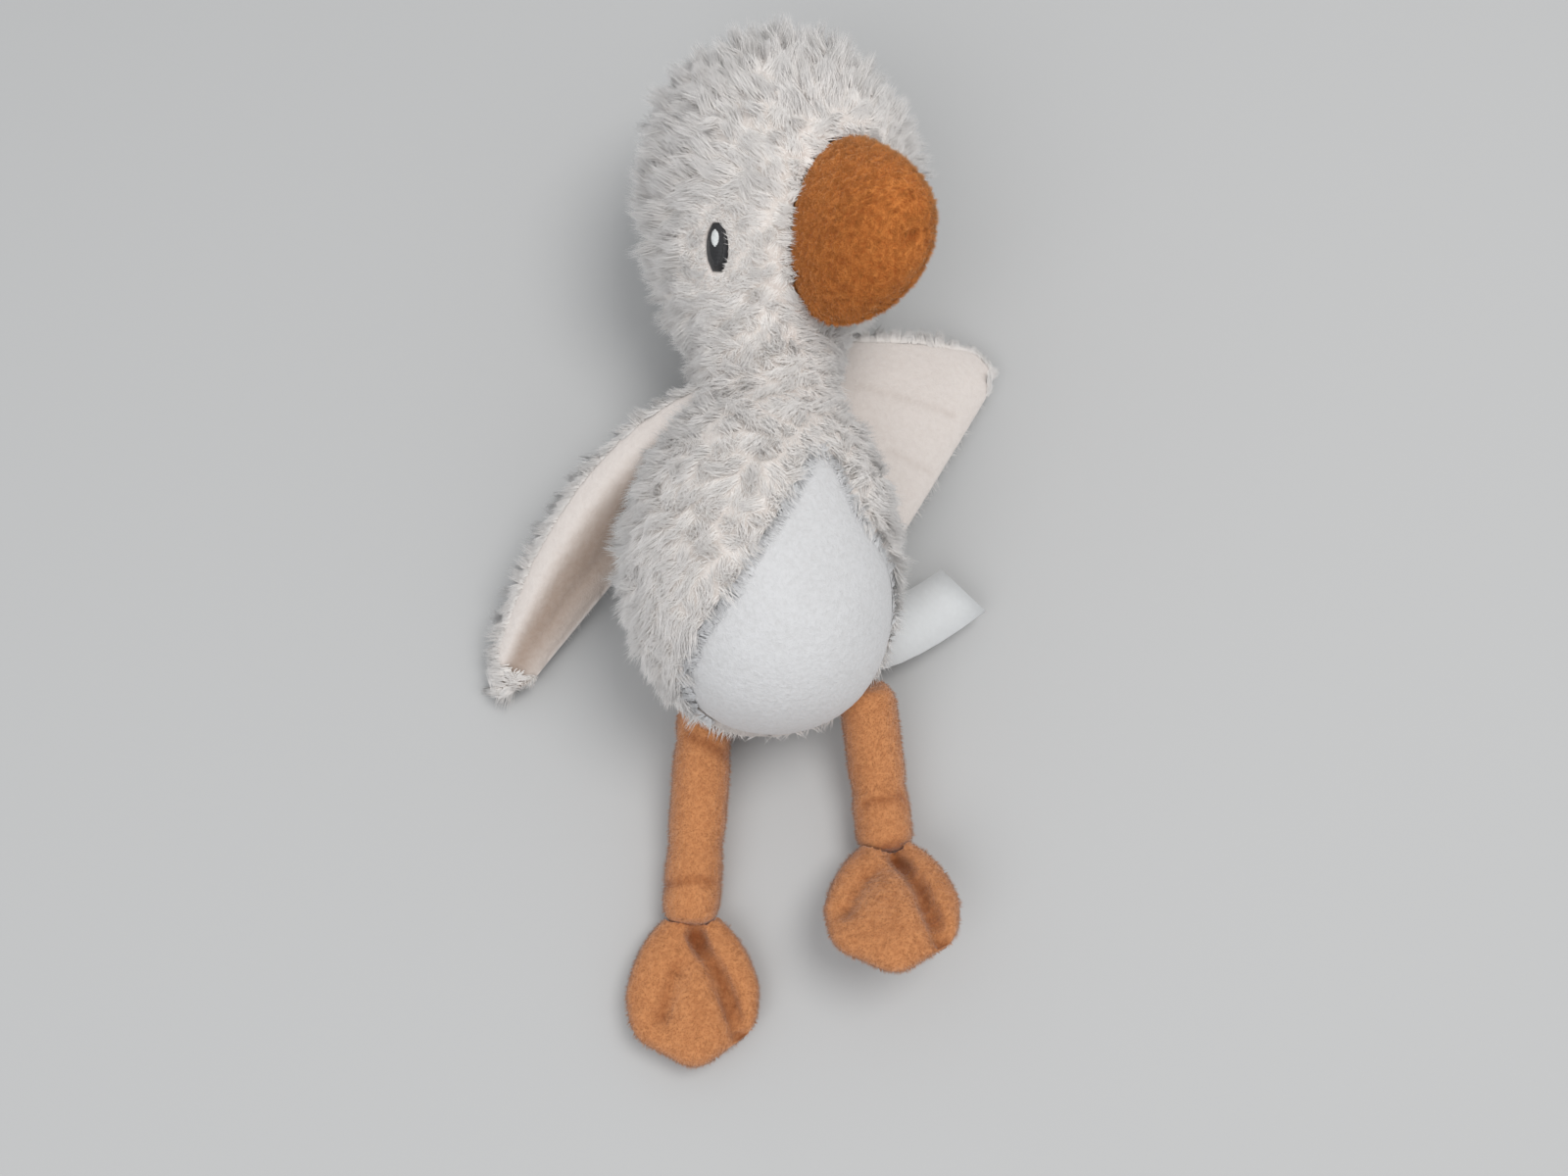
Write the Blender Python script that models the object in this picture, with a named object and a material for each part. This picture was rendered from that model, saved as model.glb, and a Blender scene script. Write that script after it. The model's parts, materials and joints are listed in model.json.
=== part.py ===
"""A plush goose that lies on its back as it comes to rest, its head turned to one side.

+X is to the right as one looks down at the belly with the head up, +Y runs to the head and
+Z is out of the table. The origin is the middle of the flat spot under the back. All sizes
are in metres. Long pile is modelled at half of its height. Left and right in the names are
the goose's own, so its left wing lies on the +X side.
"""

import math

import bmesh
import bpy
from mathutils import Matrix, Vector

# The gap that touching pieces keep
CLEARANCE = 0.0003

# The body bag: torso, neck and head are one sewn and stuffed skin
TORSO_WIDTH = 0.056
TORSO_DEPTH = 0.056
TORSO_BELOW = 0.035
TORSO_ABOVE = 0.040
TORSO_FULLNESS = 2.2
TORSO_X = 0.0007
TORSO_Y = 0.002
SEAT_X = 0.0030
NECK_WIDTH = 0.031
NECK_DEPTH = 0.031
NECK_REACH = 0.050
NECK_X = 0.0014
NECK_Y = 0.052
NECK_LIFT = 0.0255
HEAD_WIDTH = 0.060
HEAD_DEPTH = 0.062
HEAD_BELOW = 0.045
HEAD_ABOVE = 0.0325
HEAD_FULLNESS = 1.8
HEAD_X = 0.0048
HEAD_Y = 0.095
CROWN_X = 0.0032
BLEND_SHARPNESS = 6.0
REST_SINK = 0.0015
BODY_RINGS = 38
BODY_SIDES = 33

# The long pile gathers in low tufts with dips between them, but not where it is trimmed or sewn
TUFT_HEIGHT = 0.0022
TUFT_STEPS = (1.0, 0.0, -1.0)
TUFT_FADE = 0.0070
TUFT_ABOVE_TABLE = 0.0030
FACE_TRIM = math.radians(52)
SEAM_TRIM = 0.0070

# The belly panel, sewn in over the front; the body lies rolled towards +X
BODY_ROLL = math.radians(30)
PANEL_TILT = math.radians(-14)
PANEL_REACH = [math.radians(angle) for angle in (
    50, 36, 30, 33, 51, 36, 29, 28, 31, 39, 66, 90, 94, 89, 78, 64)]
PANEL_THICKNESS = 0.0030
PANEL_EDGE_DROP = 0.0008
PANEL_POCKET_RISE = 0.0060
PANEL_RINGS = 7
PANEL_SIDES = 36

# The face: where the beak points, and how far to each side of it the eyes lie
FACE_FORWARD = Vector((0.46, -0.68, 0.57)).normalized()
FACE_UP = Vector((0.14, 0.83, 0.54))
BEAK_WIDTH = 0.0275
BEAK_HEIGHT = 0.0375
BEAK_LENGTH = 0.026
BEAK_SEAT = 0.0030
BEAK_UPTURN = 0.0030
BEAK_FULLNESS = 2.25
BEAK_DIMPLE = 0.0024
BEAK_DIMPLE_WIDTH = 0.0042
BEAK_GATHERS = 6
BEAK_GATHER_DEPTH = 0.05
BEAK_RINGS = 9
BEAK_SIDES = 32
EYE_AWAY = math.radians(44.5)
EYE_DROP = math.radians(-27)
EYE_LEAN = math.radians(24)
EYE_WIDTH = 0.0050
EYE_HEIGHT = 0.0100
EYE_THICKNESS = 0.0016
EYE_RISE = 0.0002
GLINT_WIDTH = 0.0021
GLINT_HEIGHT = 0.0032
GLINT_SHIFT = 0.0016
GLINT_SINK = 0.0008
EYE_RINGS = 2
EYE_SIDES = 14

# Legs and feet: soft tubes and padded webbed feet with two sewn toe creases
LEG_RADIUS = 0.0060
LEG_RINGS = 20
LEG_SIDES = 16
LEG_CREASE_DEPTH = 0.0006
LEG_CREASE_WIDTH = 0.0016
LEG_END_ROUND = 0.0030
LEG_END_SHARE = 0.72
FOOT_LENGTH = 0.0312
FOOT_WIDTH = 0.0278
FOOT_THICKNESS = 0.0088
FOOT_ANKLE_OVERLAP = 0.0030
FOOT_MIDDLE = 0.54
FOOT_LOBES = 0.05
FOOT_HEEL_TAPER = 0.16
CREASE_DEPTH = 0.0027
CREASE_WIDTH = 0.0019
SOFT_CREASE_WIDER = 1.4
SOFT_CREASE_SHALLOWER = 0.5
FOOT_RINGS = 8
FOOT_SIDES = 40

# Wings: a pile outer sheet and a smooth lining, sewn round their edge and into the side seams
WING_OUTER = 0.0025
WING_LINING = 0.0014
WING_PUFF = 0.0010
WING_ROOT_SINK = 0.0035
WING_SPAN = 0.050
WING_BREADTH = 0.035
WING_TIP_ROUND = 0.07
WING_STEADY = 0.85
VALLEY_START = 0.45
VALLEY_LEAN = 0.75
WING_ROOM = 0.0005
WING_ROOT_ROOM = 0.0012
WING_COLUMNS = 13
WING_ROWS = 11

# The sewn-in label of woven ribbon
LABEL_THICKNESS = 0.0006
LABEL_BOW = 0.0008
LABEL_WIDTH = 0.0132
LABEL_COLUMNS = 8

COLOURS = {
    "pile": (0.60, 0.565, 0.51),
    "belly": (0.66, 0.655, 0.64),
    "lining": (0.63, 0.575, 0.50),
    "beak": (0.36, 0.155, 0.045),
    "leg": (0.46, 0.225, 0.085),
    "eye_thread": (0.008, 0.008, 0.010),
    "glint_thread": (0.55, 0.57, 0.56),
    "ribbon": (0.72, 0.73, 0.72),
}


def clear_scene():
    for thing in list(bpy.data.objects):
        bpy.data.objects.remove(thing, do_unlink=True)


def make_material(name, roughness=0.95):
    material = bpy.data.materials.new(name)
    material.use_nodes = True
    shader = material.node_tree.nodes["Principled BSDF"]
    shader.inputs["Base Color"].default_value = (*COLOURS[name], 1.0)
    shader.inputs["Roughness"].default_value = roughness
    shader.inputs["Metallic"].default_value = 0.0
    material.diffuse_color = (*COLOURS[name], 1.0)
    return material


def add_object(name, work, material):
    """Turn a finished bmesh into a named, smooth-shaded object."""
    bmesh.ops.recalc_face_normals(work, faces=work.faces)
    if work.calc_volume(signed=True) < 0:
        bmesh.ops.reverse_faces(work, faces=work.faces)
    mesh = bpy.data.meshes.new(name)
    work.to_mesh(mesh)
    work.free()
    mesh.shade_smooth()
    thing = bpy.data.objects.new(name, mesh)
    if material is not None:
        mesh.materials.append(material)
    bpy.context.scene.collection.objects.link(thing)
    return thing


def loft(name, first, rings, last, material=None):
    """Close a row of equal rings with a pole at each end."""
    work = bmesh.new()
    start = work.verts.new(first)
    loops = [[work.verts.new(point) for point in ring] for ring in rings]
    end = work.verts.new(last)
    sides = len(loops[0])
    for side in range(sides):
        after = (side + 1) % sides
        work.faces.new((start, loops[0][after], loops[0][side]))
        for lower, upper in zip(loops, loops[1:]):
            work.faces.new((lower[side], lower[after], upper[after]))
            work.faces.new((lower[side], upper[after], upper[side]))
        work.faces.new((end, loops[-1][side], loops[-1][after]))
    return add_object(name, work, material)


def slab(name, top, bottom, material=None):
    """Close two equal grids of points, one over the other, into a sheet."""
    work = bmesh.new()
    upper = [[work.verts.new(point) for point in row] for row in top]
    lower = [[work.verts.new(point) for point in row] for row in bottom]
    rows = len(upper)
    columns = len(upper[0])
    for row in range(rows - 1):
        for column in range(columns - 1):
            for grid in (upper, lower):
                near, far = grid[row], grid[row + 1]
                work.faces.new((near[column], near[column + 1], far[column + 1]))
                work.faces.new((near[column], far[column + 1], far[column]))
    border = [(0, column) for column in range(columns)]
    border += [(row, columns - 1) for row in range(1, rows)]
    border += [(rows - 1, column) for column in range(columns - 2, -1, -1)]
    border += [(row, 0) for row in range(rows - 2, 0, -1)]
    for here, there in zip(border, border[1:] + border[:1]):
        work.faces.new((upper[here[0]][here[1]], upper[there[0]][there[1]],
                        lower[there[0]][there[1]], lower[here[0]][here[1]]))
    return add_object(name, work, material)


def cut(thing, cutter):
    """Let a cutter take its shape out of an object, and keep the cutter as a guide."""
    cutter.hide_render = True
    cutter.display_type = "WIRE"
    boolean = thing.modifiers.new(f"cut_{cutter.name}", "BOOLEAN")
    boolean.operation = "DIFFERENCE"
    boolean.solver = "EXACT"
    boolean.object = cutter


def smooth_step(share):
    share = min(1.0, max(0.0, share))
    return share * share * (3.0 - 2.0 * share)


def smooth_max(values):
    return sum(max(value, 0.0) ** BLEND_SHARPNESS for value in values) ** (1.0 / BLEND_SHARPNESS)


def mix(first, second, share):
    return first + (second - first) * share


def round_loop(values, share):
    """Read a closed smooth curve through equally spaced values, at a share of its round."""
    count = len(values)
    place = (share % 1.0) * count
    index = int(place) % count
    part = place - int(place)
    before, here, after, beyond = (values[(index + step) % count] for step in (-1, 0, 1, 2))
    slope_here = (after - before) / 2.0
    slope_after = (beyond - here) / 2.0
    lift = after - here
    return (here + slope_here * part + (3.0 * lift - 2.0 * slope_here - slope_after) * part ** 2
            + (slope_here + slope_after - 2.0 * lift) * part ** 3)


def bezier(points, share):
    """A point on the Bezier curve of three or four control points."""
    points = list(points)
    while len(points) > 1:
        points = [mix(first, second, share) for first, second in zip(points, points[1:])]
    return points[0]


def rest_on_table(point):
    return Vector((point.x, point.y, max(point.z, 0.0)))


# The body's surface
TORSO_LIFT = TORSO_DEPTH / 2 - REST_SINK
HEAD_LIFT = HEAD_DEPTH / 2 - REST_SINK
SEAT_Y = TORSO_Y - TORSO_BELOW
CROWN_Y = HEAD_Y + HEAD_ABOVE
RIGHT_SIDE = TORSO_X - TORSO_WIDTH / 2
LEFT_SIDE = TORSO_X + TORSO_WIDTH / 2
TORSO_CENTRE = Vector((TORSO_X, TORSO_Y, TORSO_LIFT))
HEAD_CENTRE = Vector((HEAD_X, HEAD_Y, HEAD_LIFT))


def bulb(y, centre, below, above, fullness):
    """How wide a rounded form is at y, as a share of its full width."""
    reach = above if y > centre else below
    share = min(1.0, abs(y - centre) / reach)
    return (1.0 - share ** fullness) ** (1.0 / fullness)


def centre_line(y, stations):
    """Ease from one station (y, value) to the next."""
    if y <= stations[0][0]:
        return stations[0][1]
    for (start, first), (end, second) in zip(stations, stations[1:]):
        if y <= end:
            return mix(first, second, smooth_step((y - start) / (end - start)))
    return stations[-1][1]


def body_section(y, grow=0.0):
    """The middle and the half sizes of the body's oval section at y."""
    torso = bulb(y, TORSO_Y, TORSO_BELOW + grow, TORSO_ABOVE + grow, TORSO_FULLNESS)
    neck = bulb(y, NECK_Y, NECK_REACH, NECK_REACH, 2.0)
    head = bulb(y, HEAD_Y, HEAD_BELOW + grow, HEAD_ABOVE + grow, HEAD_FULLNESS)
    shares = (torso, neck, head)
    half_width = smooth_max([(width / 2 + grow) * share for width, share
                             in zip((TORSO_WIDTH, NECK_WIDTH, HEAD_WIDTH), shares)])
    half_depth = smooth_max([(depth / 2 + grow) * share for depth, share
                             in zip((TORSO_DEPTH, NECK_DEPTH, HEAD_DEPTH), shares)])
    x = centre_line(y, [(SEAT_Y, SEAT_X), (TORSO_Y, TORSO_X), (NECK_Y, NECK_X),
                        (HEAD_Y, HEAD_X), (CROWN_Y, CROWN_X)])
    z = centre_line(y, [(TORSO_Y, TORSO_LIFT), (NECK_Y, NECK_LIFT), (HEAD_Y, HEAD_LIFT)])
    return x, z, half_width, half_depth


def in_body(point, grow):
    x, z, half_width, half_depth = body_section(point.y, grow)
    if half_width <= 0.0 or half_depth <= 0.0:
        return False
    return ((point.x - x) / half_width) ** 2 + ((point.z - z) / half_depth) ** 2 < 1.0


def on_body(start, direction, grow=0.0):
    """Where a ray from inside the body meets its surface, grown or shrunk."""
    step = 0.004
    reach = step
    while in_body(start + direction * reach, grow):
        reach += step
    low, high = reach - step, reach
    for _ in range(16):
        middle = (low + high) / 2
        if in_body(start + direction * middle, grow):
            low = middle
        else:
            high = middle
    return start + direction * low


def tuft_relief(point):
    """How high tufts stand, and how deep the dips between them go, at a point of the body."""
    from_torso = point - TORSO_CENTRE
    side, up, forward = (from_torso.dot(axis) for axis in PANEL_FRAME)
    reach = round_loop(PANEL_REACH, math.atan2(up, side) / (2 * math.pi))
    past_panel = (from_torso.angle(PANEL_FRAME[2]) - reach) * from_torso.length
    from_head = point - HEAD_CENTRE
    past_face = (from_head.angle(FACE_FRAME[2]) - FACE_TRIM) * from_head.length
    roots = [foot["root"] for foot in FEET.values()] + [edge[0] for edge in LABEL_EDGES]
    roots += [wing[line][0] for wing in WINGS.values() for line in ("leading", "crest", "trailing")]
    past_seams = min((point - root).length for root in roots) - SEAM_TRIM
    clear = min(past_panel, past_face, past_seams, point.z - TUFT_ABOVE_TABLE)
    return TUFT_HEIGHT / 2 * smooth_step(clear / TUFT_FADE)


def body_ring(y, row):
    x, z, half_width, half_depth = body_section(y)
    ring = []
    for side in range(BODY_SIDES):
        angle = 2 * math.pi * side / BODY_SIDES
        outward = Vector((math.cos(angle), 0, math.sin(angle)))
        point = Vector((x + half_width * outward.x, y, z + half_depth * outward.z))
        point += outward * tuft_relief(point) * TUFT_STEPS[(row + side) % len(TUFT_STEPS)]
        ring.append(rest_on_table(point))
    return ring


def make_body(material):
    rings = []
    for index in range(1, BODY_RINGS):
        share = index / BODY_RINGS
        rounded = (1 - math.cos(math.pi * share)) / 2
        rings.append(body_ring(mix(SEAT_Y, CROWN_Y, mix(share, rounded, 0.5)), index))
    seat = Vector((SEAT_X, SEAT_Y, TORSO_LIFT))
    crown = Vector((CROWN_X, CROWN_Y, HEAD_LIFT))
    return loft("plush_body", seat, rings, crown, material)


def aim_frame(forward, up):
    """Side, up and forward as unit vectors at right angles."""
    side = up.cross(forward).normalized()
    return side, forward.cross(side).normalized(), forward.normalized()


def aim(frame, around, away):
    """A direction tilted away from the frame's forward, turned around it from its side."""
    side, up, forward = frame
    tilt = side * math.cos(around) + up * math.sin(around)
    return forward * math.cos(away) + tilt * math.sin(away)


# The belly panel
PANEL_FRAME = aim_frame(
    Vector((math.sin(BODY_ROLL) * math.cos(PANEL_TILT), math.sin(PANEL_TILT),
            math.cos(BODY_ROLL) * math.cos(PANEL_TILT))), Vector((0, 1, 0)))


def panel_rings(outer_grow, inner_grow, room=0.0):
    """Rings over the outside of the panel from its middle, then back under it."""
    def ring(share, grow):
        points = []
        for side in range(PANEL_SIDES):
            around = 2 * math.pi * side / PANEL_SIDES
            away = round_loop(PANEL_REACH, side / PANEL_SIDES) * min(share, 1.0)
            spread = 2 * room / TORSO_DEPTH if share > 1.0 else 0.0
            points.append(on_body(TORSO_CENTRE, aim(PANEL_FRAME, around, away + spread), grow))
        return points
    shares = [(index / PANEL_RINGS) ** 0.85 for index in range(1, PANEL_RINGS + 1)]
    under = [1.0, 0.75, 0.5, 0.25]
    if room:
        shares.append(2.0)
        under.insert(0, 2.0)
    rings = [ring(share, outer_grow(share)) for share in shares]
    rings += [ring(share, inner_grow) for share in under]
    middle = PANEL_FRAME[2]
    return (on_body(TORSO_CENTRE, middle, outer_grow(0.0)), rings,
            on_body(TORSO_CENTRE, middle, inner_grow))


def make_panel(material):
    def cushion(share):
        return -PANEL_EDGE_DROP * share ** 4
    return loft("belly_panel", *panel_rings(cushion, -PANEL_THICKNESS), material)


def make_panel_cutter():
    return loft("panel_pocket", *panel_rings(lambda share: PANEL_POCKET_RISE,
                                             -PANEL_THICKNESS - CLEARANCE, CLEARANCE))


# The face
FACE_FRAME = aim_frame(FACE_FORWARD, FACE_UP)


def beak_half_size(around):
    return 1.0 / math.hypot(math.cos(around) / (BEAK_WIDTH / 2),
                            math.sin(around) / (BEAK_HEIGHT / 2))


def beak_rings(grow=0.0):
    """Rings from the beak's tip over its side to its rim, then across its base."""
    forward = FACE_FRAME[2]
    face_reach = (on_body(HEAD_CENTRE, forward) - HEAD_CENTRE).length
    tip_reach = face_reach + BEAK_LENGTH + grow
    rounds = [2 * math.pi * side / BEAK_SIDES for side in range(BEAK_SIDES)]
    rims = []
    for around in rounds:
        away = math.asin(min(0.95, beak_half_size(around) / face_reach))
        rim = on_body(HEAD_CENTRE, aim(FACE_FRAME, around, away), -BEAK_SEAT) - HEAD_CENTRE
        outward = (rim - forward * rim.dot(forward)).normalized()
        rims.append(rim + outward * grow - forward * grow)

    def dimple(lateral):
        return BEAK_DIMPLE * math.exp(-(lateral / BEAK_DIMPLE_WIDTH) ** 2)

    def wall_ring(share):
        points = []
        turn = share * math.pi / 2
        narrow = math.cos(turn) ** (2 / BEAK_FULLNESS)
        rise = math.sin(turn) ** (2 / BEAK_FULLNESS)
        for around, rim in zip(rounds, rims):
            rim_reach = rim.dot(forward)
            lateral = (rim - forward * rim_reach) * narrow
            gather = 1 + BEAK_GATHER_DEPTH * share ** 6 * math.cos(BEAK_GATHERS * around)
            reach = mix(rim_reach, tip_reach, rise) - dimple(lateral.length)
            upturn = FACE_FRAME[1] * (BEAK_UPTURN * rise)
            points.append(HEAD_CENTRE + lateral * gather + forward * reach + upturn)
        return points

    def base_ring(share):
        seat = mix(-BEAK_SEAT - grow, -BEAK_SEAT, share)
        return [on_body(HEAD_CENTRE, forward.lerp(rim.normalized(), share).normalized(), seat)
                - forward * grow * share for rim in rims]

    rings = [wall_ring(1 - index / BEAK_RINGS) for index in range(1, BEAK_RINGS + 1)]
    rings += [base_ring(share) for share in (0.66, 0.33)]
    tip = HEAD_CENTRE + forward * (tip_reach - dimple(0.0)) + FACE_FRAME[1] * BEAK_UPTURN
    return tip, rings, on_body(HEAD_CENTRE, forward, -BEAK_SEAT - grow)


def eye_frame(side):
    """The frame of the eye on one side of the face, +1 the goose's left."""
    across, up, forward = FACE_FRAME
    raised = forward * math.cos(EYE_DROP) + up * math.sin(EYE_DROP)
    outward = raised * math.cos(EYE_AWAY) + across * side * math.sin(EYE_AWAY)
    return aim_frame(outward, up * math.cos(EYE_LEAN) + across * side * math.sin(EYE_LEAN))


def patch(name, frame, width, height, outer, inner, shift=0.0, material=None):
    """An oval patch on the head between two depths, domed a little at its edge."""
    reach = (on_body(HEAD_CENTRE, frame[2]) - HEAD_CENTRE).length
    middle = (frame[2] + frame[1] * (shift / reach)).normalized()
    local = aim_frame(middle, frame[1])

    def ring(share, grow):
        points = []
        for side in range(EYE_SIDES):
            around = 2 * math.pi * side / EYE_SIDES
            half = 1.0 / math.hypot(math.cos(around) / (width / 2),
                                    math.sin(around) / (height / 2))
            points.append(on_body(HEAD_CENTRE, aim(local, around, half * share / reach), grow))
        return points
    rings = [ring(index / EYE_RINGS, mix(outer, inner, 0.25 * (index / EYE_RINGS) ** 3))
             for index in range(1, EYE_RINGS + 1)]
    rings += [ring(share, inner) for share in (1.0, 0.5)]
    return loft(name, on_body(HEAD_CENTRE, middle, outer), rings,
                on_body(HEAD_CENTRE, middle, inner), material)


def make_eye(label, side, thread, white, body):
    """One embroidered eye: a dark oval with a pale stitched glint let into it."""
    frame = eye_frame(side)
    bottom = EYE_RISE - EYE_THICKNESS
    glint_bottom = EYE_RISE - GLINT_SINK
    eye = patch(f"eye_{label}", frame, EYE_WIDTH, EYE_HEIGHT, EYE_RISE, bottom,
                material=thread)
    patch(f"eye_{label}_glint", frame, GLINT_WIDTH, GLINT_HEIGHT, EYE_RISE + CLEARANCE,
          glint_bottom, GLINT_SHIFT, white)
    room = 2 * CLEARANCE
    well = patch(f"glint_well_{label}", frame, GLINT_WIDTH + room, GLINT_HEIGHT + room,
                 EYE_RISE + EYE_THICKNESS, glint_bottom - CLEARANCE, GLINT_SHIFT)
    cut(eye, well)
    pocket = patch(f"eye_pocket_{label}", frame, EYE_WIDTH + room, EYE_HEIGHT + room,
                   EYE_RISE + EYE_THICKNESS, bottom - CLEARANCE)
    cut(body, pocket)


# Legs and feet
FEET = {
    "right": {
        "ankle": Vector((RIGHT_SIDE + 0.0131, SEAT_Y - 0.0310, 0.0042)), "heading": math.radians(4),
        "tilt": math.radians(2), "roll": math.radians(0),
        "root": Vector((RIGHT_SIDE + 0.0165, SEAT_Y + 0.0105, 0.0150)),
        "knee": Vector((RIGHT_SIDE + 0.0147, SEAT_Y - 0.0110, 0.0046)),
        "creases": (0.18, 0.66),
        "deep": [Vector((0.0012, -0.006)), Vector((0.0066, -0.0175)), Vector((0.0102, -0.0300))],
        "soft": [Vector((0.0012, -0.006)), Vector((-0.0036, -0.0150)), Vector((-0.0062, -0.0215))],
    },
    "left": {
        "ankle": Vector((LEFT_SIDE - 0.0019, SEAT_Y - 0.0172, 0.0070)), "heading": math.radians(1),
        "tilt": math.radians(27), "roll": math.radians(-4),
        "root": Vector((LEFT_SIDE - 0.0059, SEAT_Y + 0.0135, 0.0150)),
        "knee": Vector((LEFT_SIDE - 0.0035, SEAT_Y - 0.0015, 0.0056)),
        "creases": (0.62,),
        "deep": [Vector((0.0014, -0.005)), Vector((0.0056, -0.0145)), Vector((0.0092, -0.0270))],
        "soft": [Vector((0.0010, -0.007)), Vector((-0.0052, -0.0125)), Vector((-0.0094, -0.0190))],
    },
}


def leg_rings(foot, grow=0.0):
    """Rings along a leg from its sewn end in the body to its end in the foot."""
    heading = foot["heading"]
    into_foot = Vector((math.sin(heading), -math.cos(heading), 0)) * FOOT_ANKLE_OVERLAP
    path = [foot["root"], foot["knee"], foot["ankle"] + into_foot]

    def frame_at(share):
        here = bezier(path, share)
        along = (bezier(path, share + 0.01) - bezier(path, share - 0.01)).normalized()
        side = along.cross(Vector((0, 0, 1))).normalized()
        return here, along, side, side.cross(along)

    length = sum((bezier(path, (step + 1) / 20) - bezier(path, step / 20)).length
                 for step in range(20))

    def radius(share):
        crease = sum(math.exp(-((share - place) * length / LEG_CREASE_WIDTH) ** 2)
                     for place in foot["creases"])
        past_end = smooth_step(min(share, 1 - share) * length / LEG_END_ROUND)
        return LEG_RADIUS * mix(LEG_END_SHARE, 1.0, past_end) - LEG_CREASE_DEPTH * crease + grow

    rings = []
    for index in range(LEG_RINGS + 1):
        share = index / LEG_RINGS
        here, along, side, up = frame_at(share)
        if index in (0, LEG_RINGS):
            here = here + along * (grow if index else -grow)
        size = radius(share)
        ring = []
        for step in range(LEG_SIDES):
            angle = 2 * math.pi * step / LEG_SIDES
            point = here + (side * math.cos(angle) + up * math.sin(angle)) * size
            ring.append(rest_on_table(point) if grow == 0.0 else point)
        rings.append(ring)
    first = bezier(path, 0.0) - frame_at(0.0)[1] * grow
    last = bezier(path, 1.0) + frame_at(1.0)[1] * grow
    return first, rings, last


def groove(point, line, width, depth):
    """How deep a sewn crease along a line presses in at a point."""
    nearest = min((point - mix(first, second, min(1.0, max(0.0, (point - first).dot(
        second - first) / (second - first).length_squared)))).length
        for first, second in zip(line, line[1:]))
    return depth * math.exp(-(nearest / width) ** 2)


def foot_outline(around):
    """The rim of a webbed foot round its middle, in its own plane, with three toes."""
    x = math.cos(around)
    y = math.sin(around)
    width = FOOT_WIDTH / 2 * (1.0 - FOOT_HEEL_TAPER * max(y, 0.0) ** 0.8)
    length = FOOT_LENGTH * ((1 - FOOT_MIDDLE) if y < 0 else FOOT_MIDDLE)
    toes = FOOT_LOBES * max(0.0, -y) ** 0.5 * math.cos(6 * (around - math.radians(-90)))
    return Vector((x * width, y * length)) * (1.0 + toes)


def make_foot(label, foot, leg_socket, material):
    """A padded foot: a domed top with creases, a flatter underside."""
    turn = (Matrix.Rotation(foot["heading"], 4, "Z") @ Matrix.Rotation(-foot["tilt"], 4, "X")
            @ Matrix.Rotation(foot["roll"], 4, "Y"))
    middle = Vector((0.0, -FOOT_LENGTH * FOOT_MIDDLE, 0.0))
    lines = ((foot["deep"], CREASE_WIDTH, CREASE_DEPTH),
             (foot["soft"], CREASE_WIDTH * SOFT_CREASE_WIDER,
              CREASE_DEPTH * SOFT_CREASE_SHALLOWER))

    def place(flat, height):
        local = Vector((flat.x, flat.y, height))
        return rest_on_table(foot["ankle"] + turn @ local)

    def ring(share, side_up):
        points = []
        for side in range(FOOT_SIDES):
            around = 2 * math.pi * side / FOOT_SIDES
            rim = foot_outline(around)
            flat = Vector((middle.x + rim.x * share, middle.y + rim.y * share))
            height = FOOT_THICKNESS / 2 * max(0.0, 1 - share ** 2.6) ** 0.45 * side_up
            if side_up > 0:
                height -= sum(groove(flat, line, width, depth) for line, width, depth in lines)
            points.append(place(flat, height))
        return points

    shares = [1 - (1 - index / FOOT_RINGS) ** 1.35 for index in range(1, FOOT_RINGS)]
    rings = [ring(share, 1) for share in shares]
    rings.append(ring(1.0, 0))
    rings += [ring(share, -1) for share in (0.93, 0.75, 0.45)]
    middle_flat = Vector((middle.x, middle.y))
    top = FOOT_THICKNESS / 2 - sum(groove(middle_flat, line, width, depth)
                                   for line, width, depth in lines)
    thing = loft(f"foot_{label}", place(middle_flat, top), rings,
                 place(middle_flat, -FOOT_THICKNESS / 2), material)
    cut(thing, leg_socket)
    return thing


def make_leg_and_foot(label, body, panel, material):
    foot = FEET[label]
    loft(f"leg_{label}", *leg_rings(foot), material)
    socket = loft(f"leg_socket_{label}", *leg_rings(foot, CLEARANCE))
    cut(body, socket)
    cut(panel, socket)
    make_foot(label, foot, socket, material)


# Wings: three guiding lines each, from the sewn root to the tip
WINGS = {
    "left": {
        "leading": [Vector((0.0120, 0.0610, 0.0190)), Vector((0.0330, 0.0650, 0.0120)),
                    Vector((0.0500, 0.0660, 0.0036))],
        "crest": [Vector((0.0200, 0.0330, 0.0170)), Vector((0.0385, 0.0475, 0.0115)),
                  Vector((0.0522, 0.0598, 0.0041))],
        "trailing": [Vector((0.0250, 0.0050, 0.0130)), Vector((0.0410, 0.0334, 0.0072)),
                     Vector((0.0527, 0.0553, 0.0034))],
        "crest_place": 0.5, "valley": 0.0008, "side": 1,
    },
    "right": {
        "leading": [Vector((-0.0125, 0.0425, 0.0300)), Vector((-0.0430, 0.0290, 0.0265)),
                    Vector((-0.0570, -0.0080, 0.0048))],
        "crest": [Vector((-0.0140, 0.0320, 0.0318)), Vector((-0.0335, 0.0235, 0.0270)),
                  Vector((-0.0550, -0.0124, 0.0055))],
        "trailing": [Vector((-0.0235, 0.0130, 0.0180)), Vector((-0.0358, 0.0050, 0.0045)),
                     Vector((-0.0508, -0.0157, 0.0040))],
        "crest_place": 0.42, "valley": 0.0065, "side": -1,
    },
}


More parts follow.
